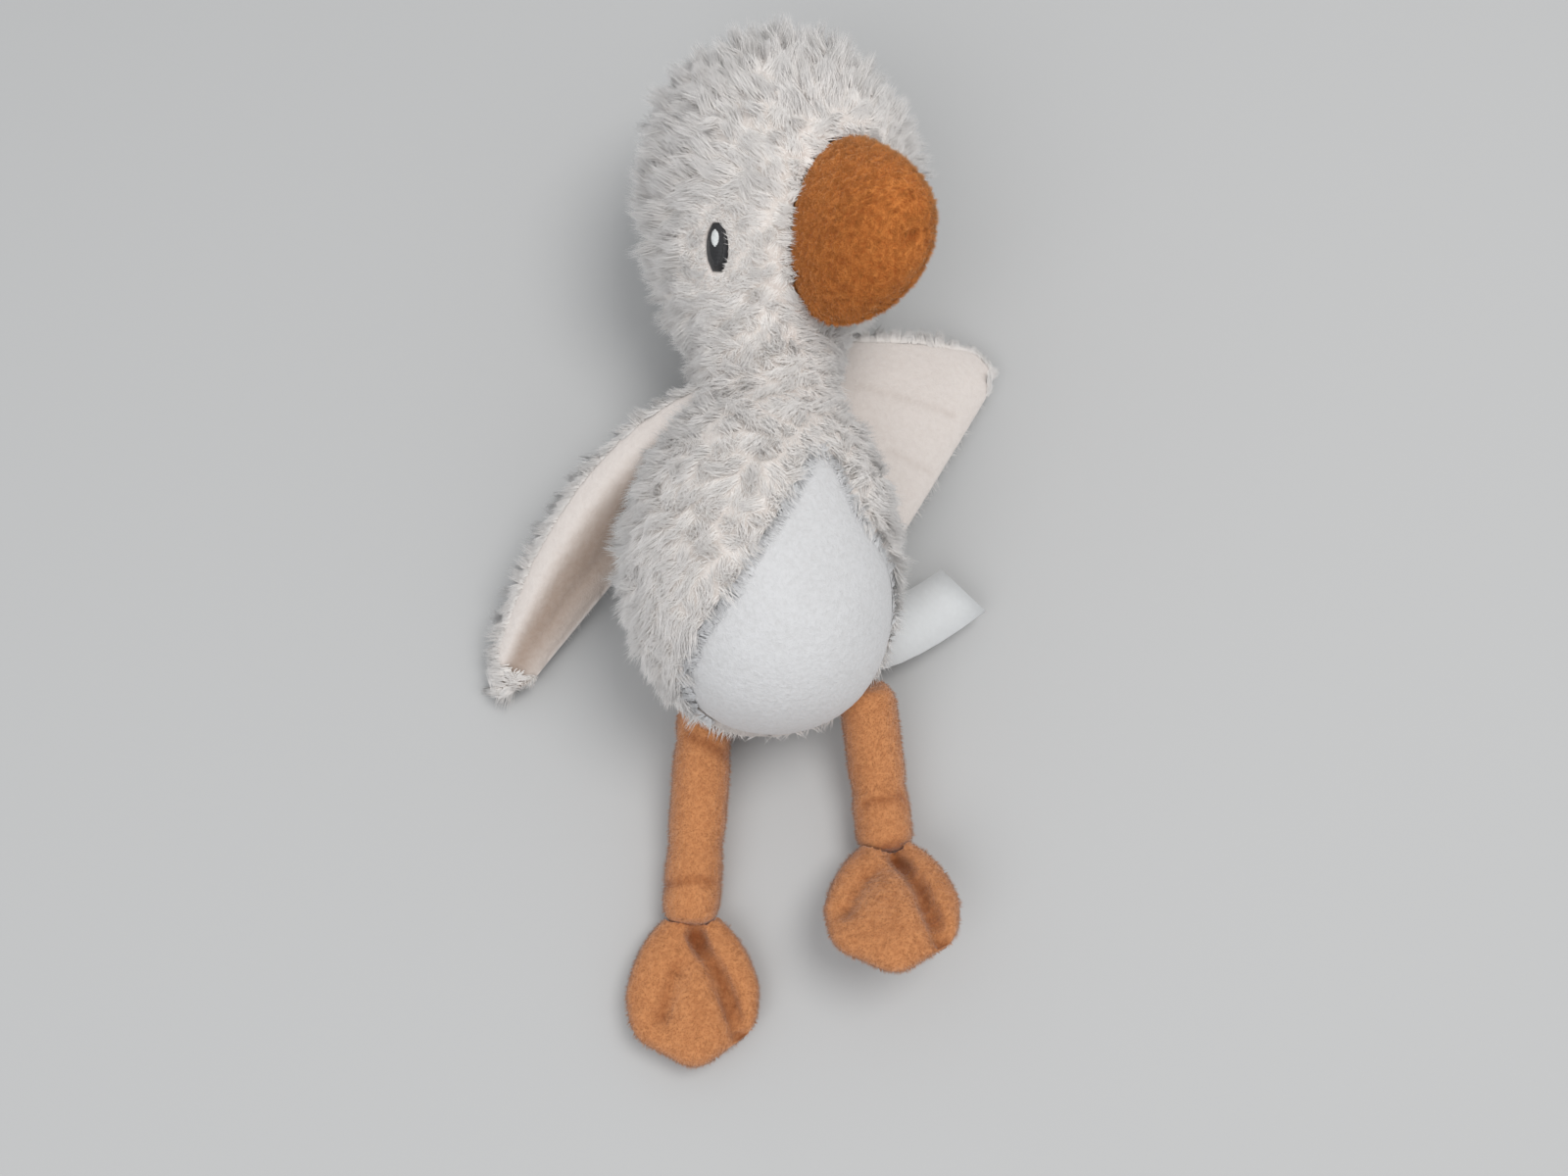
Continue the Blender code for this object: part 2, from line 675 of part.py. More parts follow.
def wing_point(wing, along, across):
    """A point of the seam surface between a wing's two sheets."""
    edge = bezier(wing["leading"], along)
    crest = bezier(wing["crest"], along)
    trail = bezier(wing["trailing"], along)
    place = wing["crest_place"]
    bend = (crest - edge * (1 - place) ** 2 - trail * place ** 2) / (2 * place * (1 - place))
    arch = bezier([edge, bend, trail], across)
    beyond = min(1.0, max(0.0, (across - place) / (1 - place)))
    fading = smooth_step(along / VALLEY_START) * min(1.0, max(0.0, 1 - along)) ** 0.7
    drop = wing["valley"] * math.sin(math.pi * beyond ** VALLEY_LEAN) ** 2 * fading
    return arch - Vector((0, 0, drop))


def wing_sheet(name, wing, low, high, room=0.0, material=None):
    """A sheet of the wing between two heights over its seam surface, with room at its edges."""
    step = 0.02
    puff = WING_PUFF if high > 0 else 0.0
    rows = [row / (WING_ROWS - 1) for row in range(WING_ROWS)]
    columns = [column / (WING_COLUMNS - 1) for column in range(WING_COLUMNS)]
    if room:
        rows = [-room / WING_BREADTH, *rows, 1 + room / WING_BREADTH]
        columns = [-WING_ROOT_ROOM / WING_SPAN, *columns, 1 + room / WING_SPAN]
    top, bottom = [], []
    for across in rows:
        upper, lower = [], []
        for share in columns:
            tip = 1 + WING_TIP_ROUND * (1 - (2 * across - 1) ** 2)
            along = mix(-WING_ROOT_SINK / WING_SPAN, tip, share)
            here = wing_point(wing, along, across)
            near = min(along, WING_STEADY)
            ahead = wing_point(wing, near + step, across) - wing_point(wing, near - step, across)
            beside = wing_point(wing, near, across + step) - wing_point(wing, near, across - step)
            normal = beside.cross(ahead).normalized() * wing["side"]
            inside = (math.sin(math.pi * min(1.0, max(0.0, share)))
                      * math.sin(math.pi * min(1.0, max(0.0, across))))
            upper.append(here + normal * (high + puff * max(0.0, inside) ** 0.5))
            under = here + normal * low
            lower.append(under if room else rest_on_table(under))
        top.append(upper)
        bottom.append(lower)
    return slab(name, top, bottom, material)


def make_wing(label, body, pile, lining):
    wing = WINGS[label]
    half_gap = CLEARANCE / 2
    wing_sheet(f"wing_{label}_outer", wing, -half_gap - WING_OUTER, -half_gap, material=pile)
    wing_sheet(f"wing_{label}_lining", wing, half_gap, half_gap + WING_LINING, material=lining)
    slot = wing_sheet(f"wing_slot_{label}", wing, -half_gap - WING_OUTER - WING_ROOM,
                      half_gap + WING_LINING + WING_ROOM, WING_ROOM)
    cut(body, slot)


# The label: two edges of a ribbon, each bent from its sewn root to its folded end
LABEL_EDGES = (
    (Vector((0.0213, -0.0005, 0.0100)), Vector((0.0300, 0.0005, 0.0098)),
     Vector((0.0403, 0.0093, 0.0085))),
    (Vector((0.0182, -0.0145, 0.0100)), Vector((0.0275, -0.0180, 0.0085)),
     Vector((0.0500, 0.0003, 0.0060))),
)


def label_grid(low, high, room=0.0):
    rows = [0.0, 0.5, 1.0]
    columns = [column / LABEL_COLUMNS for column in range(LABEL_COLUMNS + 1)]
    if room:
        rows = [-room / LABEL_WIDTH, *rows, 1 + room / LABEL_WIDTH]
        columns = [-room / LABEL_WIDTH, *columns]
    top, bottom = [], []
    for across in rows:
        upper, lower = [], []
        for along in columns:
            here = mix(bezier(LABEL_EDGES[0], along), bezier(LABEL_EDGES[1], along), across)
            here.z += LABEL_BOW * math.sin(math.pi * along)
            upper.append(here + Vector((0, 0, high)))
            lower.append(here + Vector((0, 0, low)))
        top.append(upper)
        bottom.append(lower)
    return top, bottom


def make_label(body, material):
    half = LABEL_THICKNESS / 2
    slab("side_label", *label_grid(-half, half), material)
    cut(body, slab("label_slot", *label_grid(-half - CLEARANCE, half + CLEARANCE,
                                          CLEARANCE)))


def main():
    clear_scene()
    pile = make_material("pile")
    belly = make_material("belly")
    lining = make_material("lining")
    beak = make_material("beak")
    leg = make_material("leg")
    thread = make_material("eye_thread", 0.5)
    white = make_material("glint_thread", 0.6)
    ribbon = make_material("ribbon", 0.6)

    body = make_body(pile)
    panel = make_panel(belly)
    cut(body, make_panel_cutter())
    loft("beak", *beak_rings(), beak)
    cut(body, loft("beak_pocket", *beak_rings(CLEARANCE)))
    for label, side in (("right", -1), ("left", 1)):
        make_eye(label, side, thread, white, body)
        make_leg_and_foot(label, body, panel, leg)
        make_wing(label, body, pile, lining)
    make_label(body, ribbon)


main()
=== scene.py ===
# %% [markdown]
# A plush goose, lying on its back.
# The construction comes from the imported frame: the stuffed bags, the panel, the wings, the legs
# and the label are there at their real size and place. This file gives each of them its cloth:
# long tufted pile on the body, smooth short plush on the belly and the wing linings, brushed
# plush on the beak, legs and feet, satin stitches on the eyes and a woven ribbon for the label.

# %% The frame
import json
import math

import bmesh
import bpy
import numpy as np
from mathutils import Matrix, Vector
from mathutils.bvhtree import BVHTree
from mathutils.geometry import intersect_point_line
from mathutils.kdtree import KDTree

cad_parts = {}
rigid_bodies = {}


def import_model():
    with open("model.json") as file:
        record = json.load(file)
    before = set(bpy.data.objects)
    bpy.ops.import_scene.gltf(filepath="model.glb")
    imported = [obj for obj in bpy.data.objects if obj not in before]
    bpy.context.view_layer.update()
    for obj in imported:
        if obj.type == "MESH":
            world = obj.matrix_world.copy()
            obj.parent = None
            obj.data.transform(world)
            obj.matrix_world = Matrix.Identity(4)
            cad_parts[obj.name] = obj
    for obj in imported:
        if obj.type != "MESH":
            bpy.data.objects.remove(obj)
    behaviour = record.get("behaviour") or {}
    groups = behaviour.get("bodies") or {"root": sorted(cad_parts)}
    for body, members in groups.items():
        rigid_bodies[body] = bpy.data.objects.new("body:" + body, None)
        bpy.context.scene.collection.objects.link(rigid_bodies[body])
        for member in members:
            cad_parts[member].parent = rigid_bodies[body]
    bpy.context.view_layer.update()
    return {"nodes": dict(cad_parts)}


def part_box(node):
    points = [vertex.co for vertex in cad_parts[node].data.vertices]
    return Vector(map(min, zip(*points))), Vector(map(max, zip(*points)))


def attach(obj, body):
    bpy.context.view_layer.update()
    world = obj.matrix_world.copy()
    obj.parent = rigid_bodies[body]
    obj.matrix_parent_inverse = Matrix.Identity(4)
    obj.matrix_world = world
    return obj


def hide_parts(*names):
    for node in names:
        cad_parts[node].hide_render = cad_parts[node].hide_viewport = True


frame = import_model()
NODES = frame["nodes"]
print("CAD nodes:", len(NODES))

# %% [markdown]
# The photo looks down at the toy steeply from nearby. From straight above, the feet and the
# beak would hide their sides, so the camera stands 70 degrees above the table. It is aimed at
# the middle of the view and has no shift.

# %% The camera
VIEW_HEIGHT = math.radians(70)
VIEW_DISTANCE = 0.330
VIEW_CENTRE = Vector((0.0055, 0.0080, 0.0))
FOCAL_LENGTH_MM = 33.41

camera_data = bpy.data.cameras.new("photo_camera")
camera_data.sensor_width = 36.0
camera_data.lens = FOCAL_LENGTH_MM
camera_data.clip_start = 0.01
camera = bpy.data.objects.new("photo_camera", camera_data)
camera.location = VIEW_CENTRE + VIEW_DISTANCE * Vector((0, -math.cos(VIEW_HEIGHT),
                                                        math.sin(VIEW_HEIGHT)))
camera.rotation_euler = (math.pi / 2 - VIEW_HEIGHT, 0, 0)
bpy.context.scene.collection.objects.link(camera)
bpy.context.scene.camera = camera
print("camera height above the table:", round(camera.location.z, 3), "m")

# %% [markdown]
# A shader or geometry tree is easier to read when each node is one call. The first two helpers
# add a node, set its options and feed its sockets by name or number with a value or another
# socket. The others start a group and make the math nodes that are used most.

# %% Building node trees
def pick(sockets, key):
    """The socket in use with that name, or the one with that number."""
    if isinstance(key, int):
        return sockets[key]
    return next(socket for socket in sockets if socket.name == key and socket.enabled)


def put(tree, kind, feeds=None, out=None, **options):
    """Add a node and return one of its outputs, the first in use unless out names another."""
    node = tree.nodes.new(kind)
    for option, value in options.items():
        setattr(node, option, value)
    for key, value in (feeds or {}).items():
        socket = pick(node.inputs, key)
        if isinstance(value, bpy.types.NodeSocket):
            tree.links.new(value, socket)
        else:
            socket.default_value = value
    if not node.outputs:
        return node
    if out is None:
        return next(socket for socket in node.outputs if socket.enabled)
    return pick(node.outputs, out)


def new_group(name, kind, inputs, outputs):
    """An empty node group with named sockets, and its input and output nodes."""
    tree = bpy.data.node_groups.new(name, kind)
    for label, socket_type, value in inputs:
        socket = tree.interface.new_socket(name=label, in_out="INPUT", socket_type=socket_type)
        if value is not None:
            socket.default_value = value
    for label, socket_type in outputs:
        tree.interface.new_socket(name=label, in_out="OUTPUT", socket_type=socket_type)
    return tree, tree.nodes.new("NodeGroupInput").outputs, tree.nodes.new("NodeGroupOutput")


def math_of(tree, operation, first, second=0.0, clamp=False):
    return put(tree, "ShaderNodeMath", {0: first, 1: second}, operation=operation,
               use_clamp=clamp)


def vector_of(tree, operation, first, second=(0.0, 0.0, 0.0)):
    return put(tree, "ShaderNodeVectorMath", {0: first, 1: second}, operation=operation)


def scaled(tree, vector, factor):
    return put(tree, "ShaderNodeVectorMath", {0: vector, "Scale": factor}, operation="SCALE")


# %% [markdown]
# Short plush is a knit with upright fibres a millimetre long. They lean together in small
# clumps, so that the cloth mottles light and dark, and the knit's ribs show as a fine grain.
# The same effect, with other sizes and colours, serves the belly, the linings, the beak and the
# legs, so it is one node group that gives a colour and a normal. It also paints shade into
# creases and folds, by mixing towards the deep colour where a skin's hollow value is high.

# %% The short plush group
def make_plush_group():
    tree, given, result = new_group(
        "short_plush", "ShaderNodeTree",
        [("Colour", "NodeSocketColor", (0.6, 0.6, 0.6, 1)),
         ("Deep Colour", "NodeSocketColor", (0.3, 0.3, 0.3, 1)),
         ("Clump Size", "NodeSocketFloat", 0.0012),
         ("Fibre Size", "NodeSocketFloat", 0.00025),
         ("Relief", "NodeSocketFloat", 0.0003),
         ("Mottle", "NodeSocketFloat", 0.4)],
        [("Colour", "NodeSocketColor"), ("Normal", "NodeSocketVector")])
    place = put(tree, "ShaderNodeTexCoord", out="Object")
    clumps = put(tree, "ShaderNodeTexNoise", {
        "Vector": place, "Scale": math_of(tree, "DIVIDE", 1.0, given["Clump Size"]),
        "Detail": 3.0, "Roughness": 0.6, "Distortion": 0.4}, out=0)
    fibres = put(tree, "ShaderNodeTexNoise", {
        "Vector": place, "Scale": math_of(tree, "DIVIDE", 1.0, given["Fibre Size"]),
        "Detail": 2.0, "Roughness": 0.7}, out=0)
    drift = put(tree, "ShaderNodeTexNoise", {"Vector": place, "Scale": 90.0, "Detail": 2.0}, out=0)
    def fade(value, low, high, most):
        """From 0 where the value is low, to the most where it is high."""
        return put(tree, "ShaderNodeMapRange", {
            "Value": value, "From Min": low, "From Max": high, "To Min": 0.0, "To Max": most},
            out="Result")

    depth = fade(clumps, 0.62, 0.34, 1.0)
    grain = fade(fibres, 0.70, 0.30, 0.5)
    sway = fade(drift, 0.65, 0.35, 0.35)
    dark = math_of(tree, "ADD", math_of(tree, "ADD", depth, grain), sway)
    # Painted shade: a skin's hollow value, measured in its creases and folds, pushes the colour
    # further towards the Deep Colour.
    hollow = put(tree, "ShaderNodeAttribute", out="Fac", attribute_name="hollow")
    share = math_of(tree, "ADD", math_of(tree, "MULTIPLY", dark, given["Mottle"]), hollow,
                    clamp=True)
    colour = put(tree, "ShaderNodeMix", {"Factor": share, 6: given["Colour"],
                                         7: given["Deep Colour"]}, data_type="RGBA")
    height = math_of(tree, "MULTIPLY", math_of(tree, "ADD", clumps,
                                               math_of(tree, "MULTIPLY", fibres, 0.35)),
                     given["Relief"])
    normal = put(tree, "ShaderNodeBump", {"Height": height, "Distance": 1.0}, out="Normal")
    tree.links.new(colour, result.inputs["Colour"])
    tree.links.new(normal, result.inputs["Normal"])
    return tree


PLUSH_GROUP = make_plush_group()
print("short plush group:", len(PLUSH_GROUP.nodes), "nodes")

# %% [markdown]
# Strands need another effect: each hair is painted darker at its root, as painted shade where less
# light comes in, and a little lighter at its tip, and each tuft has a shade of its own. The group
# reads three numbers that the hairs carry: along comes from the strand, shade from the pile tree,
# and hollow from a skin whose creases were measured. A hair in a crease keeps more of its darker
# root colour, which is painted shade too.

# %% The strand tone group
def make_strand_group():
    tree, given, result = new_group(
        "strand_tone", "ShaderNodeTree",
        [("Tip Colour", "NodeSocketColor", (0.7, 0.7, 0.7, 1)),
         ("Root Colour", "NodeSocketColor", (0.4, 0.4, 0.4, 1)),
         ("Variety", "NodeSocketFloat", 0.12), ("Patches", "NodeSocketFloat", 160.0)],
        [("Colour", "NodeSocketColor")])
    along = put(tree, "ShaderNodeAttribute", out="Fac", attribute_name="along")
    shade = put(tree, "ShaderNodeAttribute", out="Fac", attribute_name="shade")
    place = put(tree, "ShaderNodeTexCoord", out="Object")
    drift = put(tree, "ShaderNodeTexNoise", {"Vector": place, "Scale": given["Patches"],
                                             "Detail": 2.0}, out=0)
    hollow = put(tree, "ShaderNodeAttribute", out="Fac", attribute_name="hollow")
    # Painted shade: in a crease a hair keeps more of its darker root colour.
    lit = math_of(tree, "SUBTRACT", 1.0, hollow)
    blend = math_of(tree, "MULTIPLY", math_of(tree, "POWER", along, 0.7), lit, clamp=True)
    colour = put(tree, "ShaderNodeMix", {"Factor": blend, 6: given["Root Colour"],
                                         7: given["Tip Colour"]}, data_type="RGBA")
    sway = math_of(tree, "ADD", math_of(tree, "SUBTRACT", shade, 0.5),
                   math_of(tree, "SUBTRACT", drift, 0.5))
    value = math_of(tree, "ADD", 1.0, math_of(tree, "MULTIPLY", sway, given["Variety"]))
    toned = put(tree, "ShaderNodeHueSaturation", {"Color": colour, "Value": value})
    tree.links.new(toned, result.inputs["Colour"])
    return tree


STRAND_GROUP = make_strand_group()
print("strand tone group:", len(STRAND_GROUP.nodes), "nodes")

# %% [markdown]
# Every finish keeps its Principled shader in the material itself. Plush has a high roughness and
# a soft sheen, because fibre ends at a grazing angle catch the light. The beak's long fibres
# catch a warm light in a narrow band.

# %% The finishes
CLOTH_SPECULAR = 0.2
CLOTH_SHEEN_SPREAD = 0.5
PLUSH_ROUGHNESS = 0.92
STRAND_ROUGHNESS = 0.88


def opaque(colour):
    return (*colour, 1.0)


def shader_of(material):
    return material.node_tree.nodes["Principled BSDF"]


def new_material(name, roughness, sheen):
    material = bpy.data.materials.new(name)
    material.use_nodes = True
    sockets = shader_of(material).inputs
    sockets["Roughness"].default_value = roughness
    sockets["Specular IOR Level"].default_value = CLOTH_SPECULAR
    sockets["Sheen Weight"].default_value = sheen
    sockets["Sheen Roughness"].default_value = CLOTH_SHEEN_SPREAD
    return material


def cloth(name, roughness, sheen, group, values):
    """A material that takes its colour, and its normal if there is one, from a group."""
    material = new_material(name, roughness, sheen)
    effect = material.node_tree.nodes.new("ShaderNodeGroup")
    effect.node_tree = group
    for label, value in values.items():
        effect.inputs[label].default_value = value
    sockets = shader_of(material).inputs
    for output, target in (("Colour", "Base Color"), ("Normal", "Normal")):
        if output in effect.outputs:
            material.node_tree.links.new(effect.outputs[output], sockets[target])
    return material


def plush_material(name, colour, deep, clump, relief, mottle, sheen=0.35):
    return cloth(name, PLUSH_ROUGHNESS, sheen, PLUSH_GROUP, {
        "Colour": opaque(colour), "Deep Colour": opaque(deep), "Clump Size": clump,
        "Relief": relief, "Mottle": mottle})


def strand_material(name, tip, root, variety, patches, sheen=0.3):
    return cloth(name, STRAND_ROUGHNESS, sheen, STRAND_GROUP, {
        "Tip Colour": opaque(tip), "Root Colour": opaque(root), "Variety": variety,
        "Patches": patches})


PILE_TIP = (0.84, 0.815, 0.79)
# Painted shade: the strands' root colours, and the pile's ground a little darker still, stand for
# the shade deep in the pile between the tufts.
PILE_ROOT_SHADE = (0.74, 0.695, 0.655)
PILE_GROUND = (0.70, 0.65, 0.61)
PILE_DEEP = (0.56, 0.50, 0.455)
BELLY = (0.60, 0.598, 0.60)
BELLY_TIP = (0.82, 0.82, 0.82)
BELLY_DEEP = (0.50, 0.495, 0.49)
LINING = (0.66, 0.605, 0.565)
# Painted shade: the lining's dark colour is the painted shadow of the fold and the creases, and its
# faint mottle.
LINING_SHADE_AND_MOTTLE = (0.33, 0.25, 0.20)
BEAK_TIP = (0.66, 0.245, 0.060)
# Painted shade and real mottle: the beak's dark colour speckles it, and darkens its creases and its
# fibres' roots as shade.
BEAK_SHADE_AND_MOTTLE = (0.32, 0.085, 0.016)
LEG_TIP = (0.58, 0.255, 0.100)
# Painted shade and real mottle: the legs' dark colour mottles them, and darkens their creases and
# their fibres' roots as shade.
LEG_SHADE_AND_MOTTLE = (0.26, 0.080, 0.024)
RIBBON = (0.66, 0.67, 0.67)
RIBBON_DEEP = (0.50, 0.50, 0.49)
BEAK_SHEEN = 0.6
BEAK_SHEEN_TINT = (1.0, 0.78, 0.48)
BEAK_SHEEN_SPREAD = 0.35

pile_strands = strand_material("pile_strands", PILE_TIP, PILE_ROOT_SHADE, 0.20, 160.0)
pile_ground = plush_material("pile_ground", PILE_GROUND, PILE_DEEP, 0.0016, 0.0006, 0.5)
belly_plush = plush_material("belly_plush", BELLY, BELLY_DEEP, 0.0011, 0.00030, 0.45)
belly_strands = strand_material("belly_strands", BELLY_TIP, BELLY, 0.12, 300.0)
lining_plush = plush_material("lining_plush", LINING, LINING_SHADE_AND_MOTTLE, 0.0014, 0.00026, 0.09)
beak_plush = plush_material("beak_plush", BEAK_TIP, BEAK_SHADE_AND_MOTTLE, 0.0016, 0.0005, 0.65, BEAK_SHEEN)
beak_strands = strand_material("beak_strands", BEAK_TIP, BEAK_SHADE_AND_MOTTLE, 0.55, 520.0, BEAK_SHEEN)
for material in (beak_plush, beak_strands):
    shader_of(material).inputs["Sheen Tint"].default_value = opaque(BEAK_SHEEN_TINT)
    shader_of(material).inputs["Sheen Roughness"].default_value = BEAK_SHEEN_SPREAD
leg_plush = plush_material("leg_plush", LEG_TIP, LEG_SHADE_AND_MOTTLE, 0.0012, 0.00035, 0.30)
leg_strands = strand_material("leg_strands", LEG_TIP, LEG_SHADE_AND_MOTTLE, 0.30, 420.0)
print("materials:", len(bpy.data.materials))

# %% [markdown]
# The CAD solids are faceted, and a sewn bag is round. A bag could be modelled a second time, but
# it might then drift away from its solid, so each skin starts from a copy of the solid with its
# loose triangles merged. Modifiers and trees are turned into plain meshes before a piece is
# finished.

# %% Copies and finished pieces
MERGE = 0.00002


def merged_copy(node):
    work = bmesh.new()
    work.from_mesh(NODES[node].data)
    bmesh.ops.remove_doubles(work, verts=work.verts, dist=MERGE)
    work.normal_update()
    return work


def to_object(name, work, material=None):
    mesh = bpy.data.meshes.new(name)
    work.to_mesh(mesh)
    work.free()
    thing = bpy.data.objects.new(name, mesh)
    if material is not None:
        mesh.materials.append(material)
    bpy.context.scene.collection.objects.link(thing)
    return thing


def baked(thing):
    """Replace an object's mesh by its evaluated one, and take its modifiers off."""
    graph = bpy.context.evaluated_depsgraph_get()
    mesh = bpy.data.meshes.new_from_object(thing.evaluated_get(graph),
                                           preserve_all_data_layers=True, depsgraph=graph)
    thing.modifiers.clear()
    thing.data = mesh
    return thing


def finish_piece(thing, nodes=()):
    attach(thing, "root")
    if nodes:
        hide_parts(*nodes)
    return thing


print("CAD faces:", sum(len(solid.data.polygons) for solid in NODES.values()))

# %% [markdown]
# Where a stuffed piece is stitched through or gathered, its cloth sinks into a crease that lies
# in its own shade. A painted line would ignore the form, so the hollow is measured: a point that
# lies below the middle of its neighbours is in a crease. The measure darkens the cloth's colour
# there as painted shade, and sinks the skin a little deeper. Creases too fine for the solid are
# lines, as seen from above, whose shade is painted the same way.

# %% Creases
HOLLOW_REACH = 0.0026
SAME_SIDE = 0.2
DEEPEST_HOLLOW = 0.95
SHALLOW = 0.05


def search_tree(points):
    tree = KDTree(len(points))
    for index, point in enumerate(points):
        tree.insert(point, index)
    tree.balance()
    return tree


def store(mesh, name, values):
    mesh.attributes.new(name, "FLOAT", "POINT").data.foreach_set("value", values)


def write_hollows(thing, strength):
    """How far each point lies in a crease or a fold, 0 to 1, for painted shade and for sinking."""
    mesh = thing.data
    if "hollow" in mesh.attributes:
        mesh.attributes.remove(mesh.attributes["hollow"])
    tree = search_tree([vertex.co for vertex in mesh.vertices])
    rough, around = [], []
    for vertex in mesh.vertices:
        near = [index for point, index, distance in tree.find_range(vertex.co, HOLLOW_REACH)
                if mesh.vertices[index].normal.dot(vertex.normal) > SAME_SIDE]
        middle = sum((mesh.vertices[index].co for index in near), Vector()) / len(near)
        depth = (middle - vertex.co).dot(vertex.normal) / HOLLOW_REACH
        rough.append(min(DEEPEST_HOLLOW, max(0.0, depth * strength - SHALLOW)))
        around.append([index for index in near
                       if (mesh.vertices[index].co - vertex.co).length < HOLLOW_REACH / 2])
    store(mesh, "hollow", [sum(rough[index] for index in near) / len(near) for near in around])


def sink_hollows(thing, depth):
    """Press the creases deeper than the faceted solid can show them."""
    mesh = thing.data
    hollows = mesh.attributes["hollow"].data
    moves = [vertex.normal * (depth * hollows[vertex.index].value) for vertex in mesh.vertices]
    for vertex, move in zip(mesh.vertices, moves):
        vertex.co -= move
    mesh.update()


def flat(point):
    return Vector((point[0], point[1], 0.0))


def line_shade(point, lines, width):
    """How near a point is to the creases, each a line seen from above."""
    shade = 0.0
    for start, end in lines:
        near, share = intersect_point_line(flat(point), flat(start), flat(end))
        near = flat(start).lerp(flat(end), min(1.0, max(0.0, share)))
        shade += math.exp(-((flat(point) - near).length / width) ** 2)
    return shade


LEG_CREASES = {
    "leg_right": (((-0.0145, -0.0307), (-0.0068, -0.0339)),
                  ((-0.0197, -0.0598), (-0.0096, -0.0591))),
    "leg_left": (((0.0227, -0.0438), (0.0299, -0.0422)),
                 ((0.0227, -0.0536), (0.0314, -0.0522))),
}
print("fine creases of each leg:", [len(lines) for lines in LEG_CREASES.values()])

# %% [markdown]
# A skin is the copy with its triangles joined to the four-sided faces they were lofted from, and
# rounded by a subdivision surface, which needs far fewer faces than a sculpted one. A leg's lower
# end would shrink away from its foot, so its edge is kept full and moved down to meet the foot.

# %% Skins over the solids
JOIN_ANGLE = math.radians(30)
JOIN_SHAPE = math.radians(60)
END_ANGLE = math.radians(60)
END_FULLNESS = 0.85
END_DEPTH = 0.0016
END_MOVE = 0.0005
DEEP_HOLLOW_SHARE = 0.32
LEG_CREASE_WIDTH = 0.0011
LEG_CREASE_SHADE = 0.45
LEG_CREASE_DEPTH = 0.0006


def make_skin(name, node, material, levels=1, hollow=0.0, depth=0.0, full_end=False):
    """A rounded copy that replaces its node. Hollow is how strongly creases get painted shade."""
    work = merged_copy(node)
    bmesh.ops.join_triangles(work, faces=work.faces[:], angle_face_threshold=JOIN_ANGLE,
                             angle_shape_threshold=JOIN_SHAPE)
    if full_end:
        crease = work.edges.layers.float.new("crease_edge")
        for edge in work.edges:
            if edge.is_manifold and edge.calc_face_angle() > END_ANGLE:
                edge[crease] = END_FULLNESS
    skin = to_object(name, work, material)
    if levels:
        rounding = skin.modifiers.new("rounding", "SUBSURF")
        rounding.levels = levels
        rounding.render_levels = levels
        baked(skin)
    skin.data.shade_smooth()
    if hollow:
        write_hollows(skin, hollow)
    if full_end:
        low_end = min(vertex.co.y for vertex in skin.data.vertices)
        for vertex in skin.data.vertices:
            if vertex.co.y < low_end + END_DEPTH:
                vertex.co.y -= END_MOVE
    if depth:
        sink_hollows(skin, depth)
        write_hollows(skin, hollow * DEEP_HOLLOW_SHARE)
    # Painted shade along the legs' fine creases, which are also sunk a little.
    if node in LEG_CREASES:
        for vertex, value in zip(skin.data.vertices, skin.data.attributes["hollow"].data):
            value.value += LEG_CREASE_SHADE * line_shade(vertex.co, LEG_CREASES[node],
                                                         LEG_CREASE_WIDTH)
        sink_hollows(skin, LEG_CREASE_DEPTH)
    return finish_piece(skin, [node])


body_skin = make_skin("body_skin", "plush_body", pile_ground, 0)
belly_skin = make_skin("belly_skin", "belly_panel", belly_plush)
beak_skin = make_skin("beak_skin", "beak", beak_plush, 1, 6.0, 0.0006)
LIMBS = ("leg_right", "leg_left", "foot_right", "foot_left")
limb_skins = {limb: make_skin(f"{limb}_skin", limb, leg_plush, 2, 10.0, 0.0011,
                              full_end=limb in LEG_CREASES)
              for limb in LIMBS}
WINGS = ("wing_right", "wing_left")
outer_skins = {wing: make_skin(f"{wing}_outer_skin", f"{wing}_outer", pile_ground)
               for wing in WINGS}
lining_skins = {wing: make_skin(f"{wing}_lining_skin", f"{wing}_lining",
                                lining_plush, 2)
                for wing in WINGS}

# %% [markdown]
# Pile and fuzz grow from the uncovered part of a skin. An emitter is an open sheet: the skin
# without the faces that lie against a neighbour, such as the pocket under the belly panel.
# Each of its points gets four values that the geometry tree reads: cover is how densely hairs
# stand, reach is how long they are, outward is the smooth normal and nap is the way they lie.

# %% Emitters
TOUCH = 0.0012


def bvh_of(names):
    """One search tree over several CAD nodes."""
    points, faces = [], []
    for name in names:
        mesh = NODES[name].data
        base = len(points)
        points += [vertex.co.copy() for vertex in mesh.vertices]
        faces += [[base + index for index in face.vertices] for face in mesh.polygons]
    return BVHTree.FromPolygons(points, faces)


def others(*own):
    return bvh_of([name for name in NODES if name not in own])


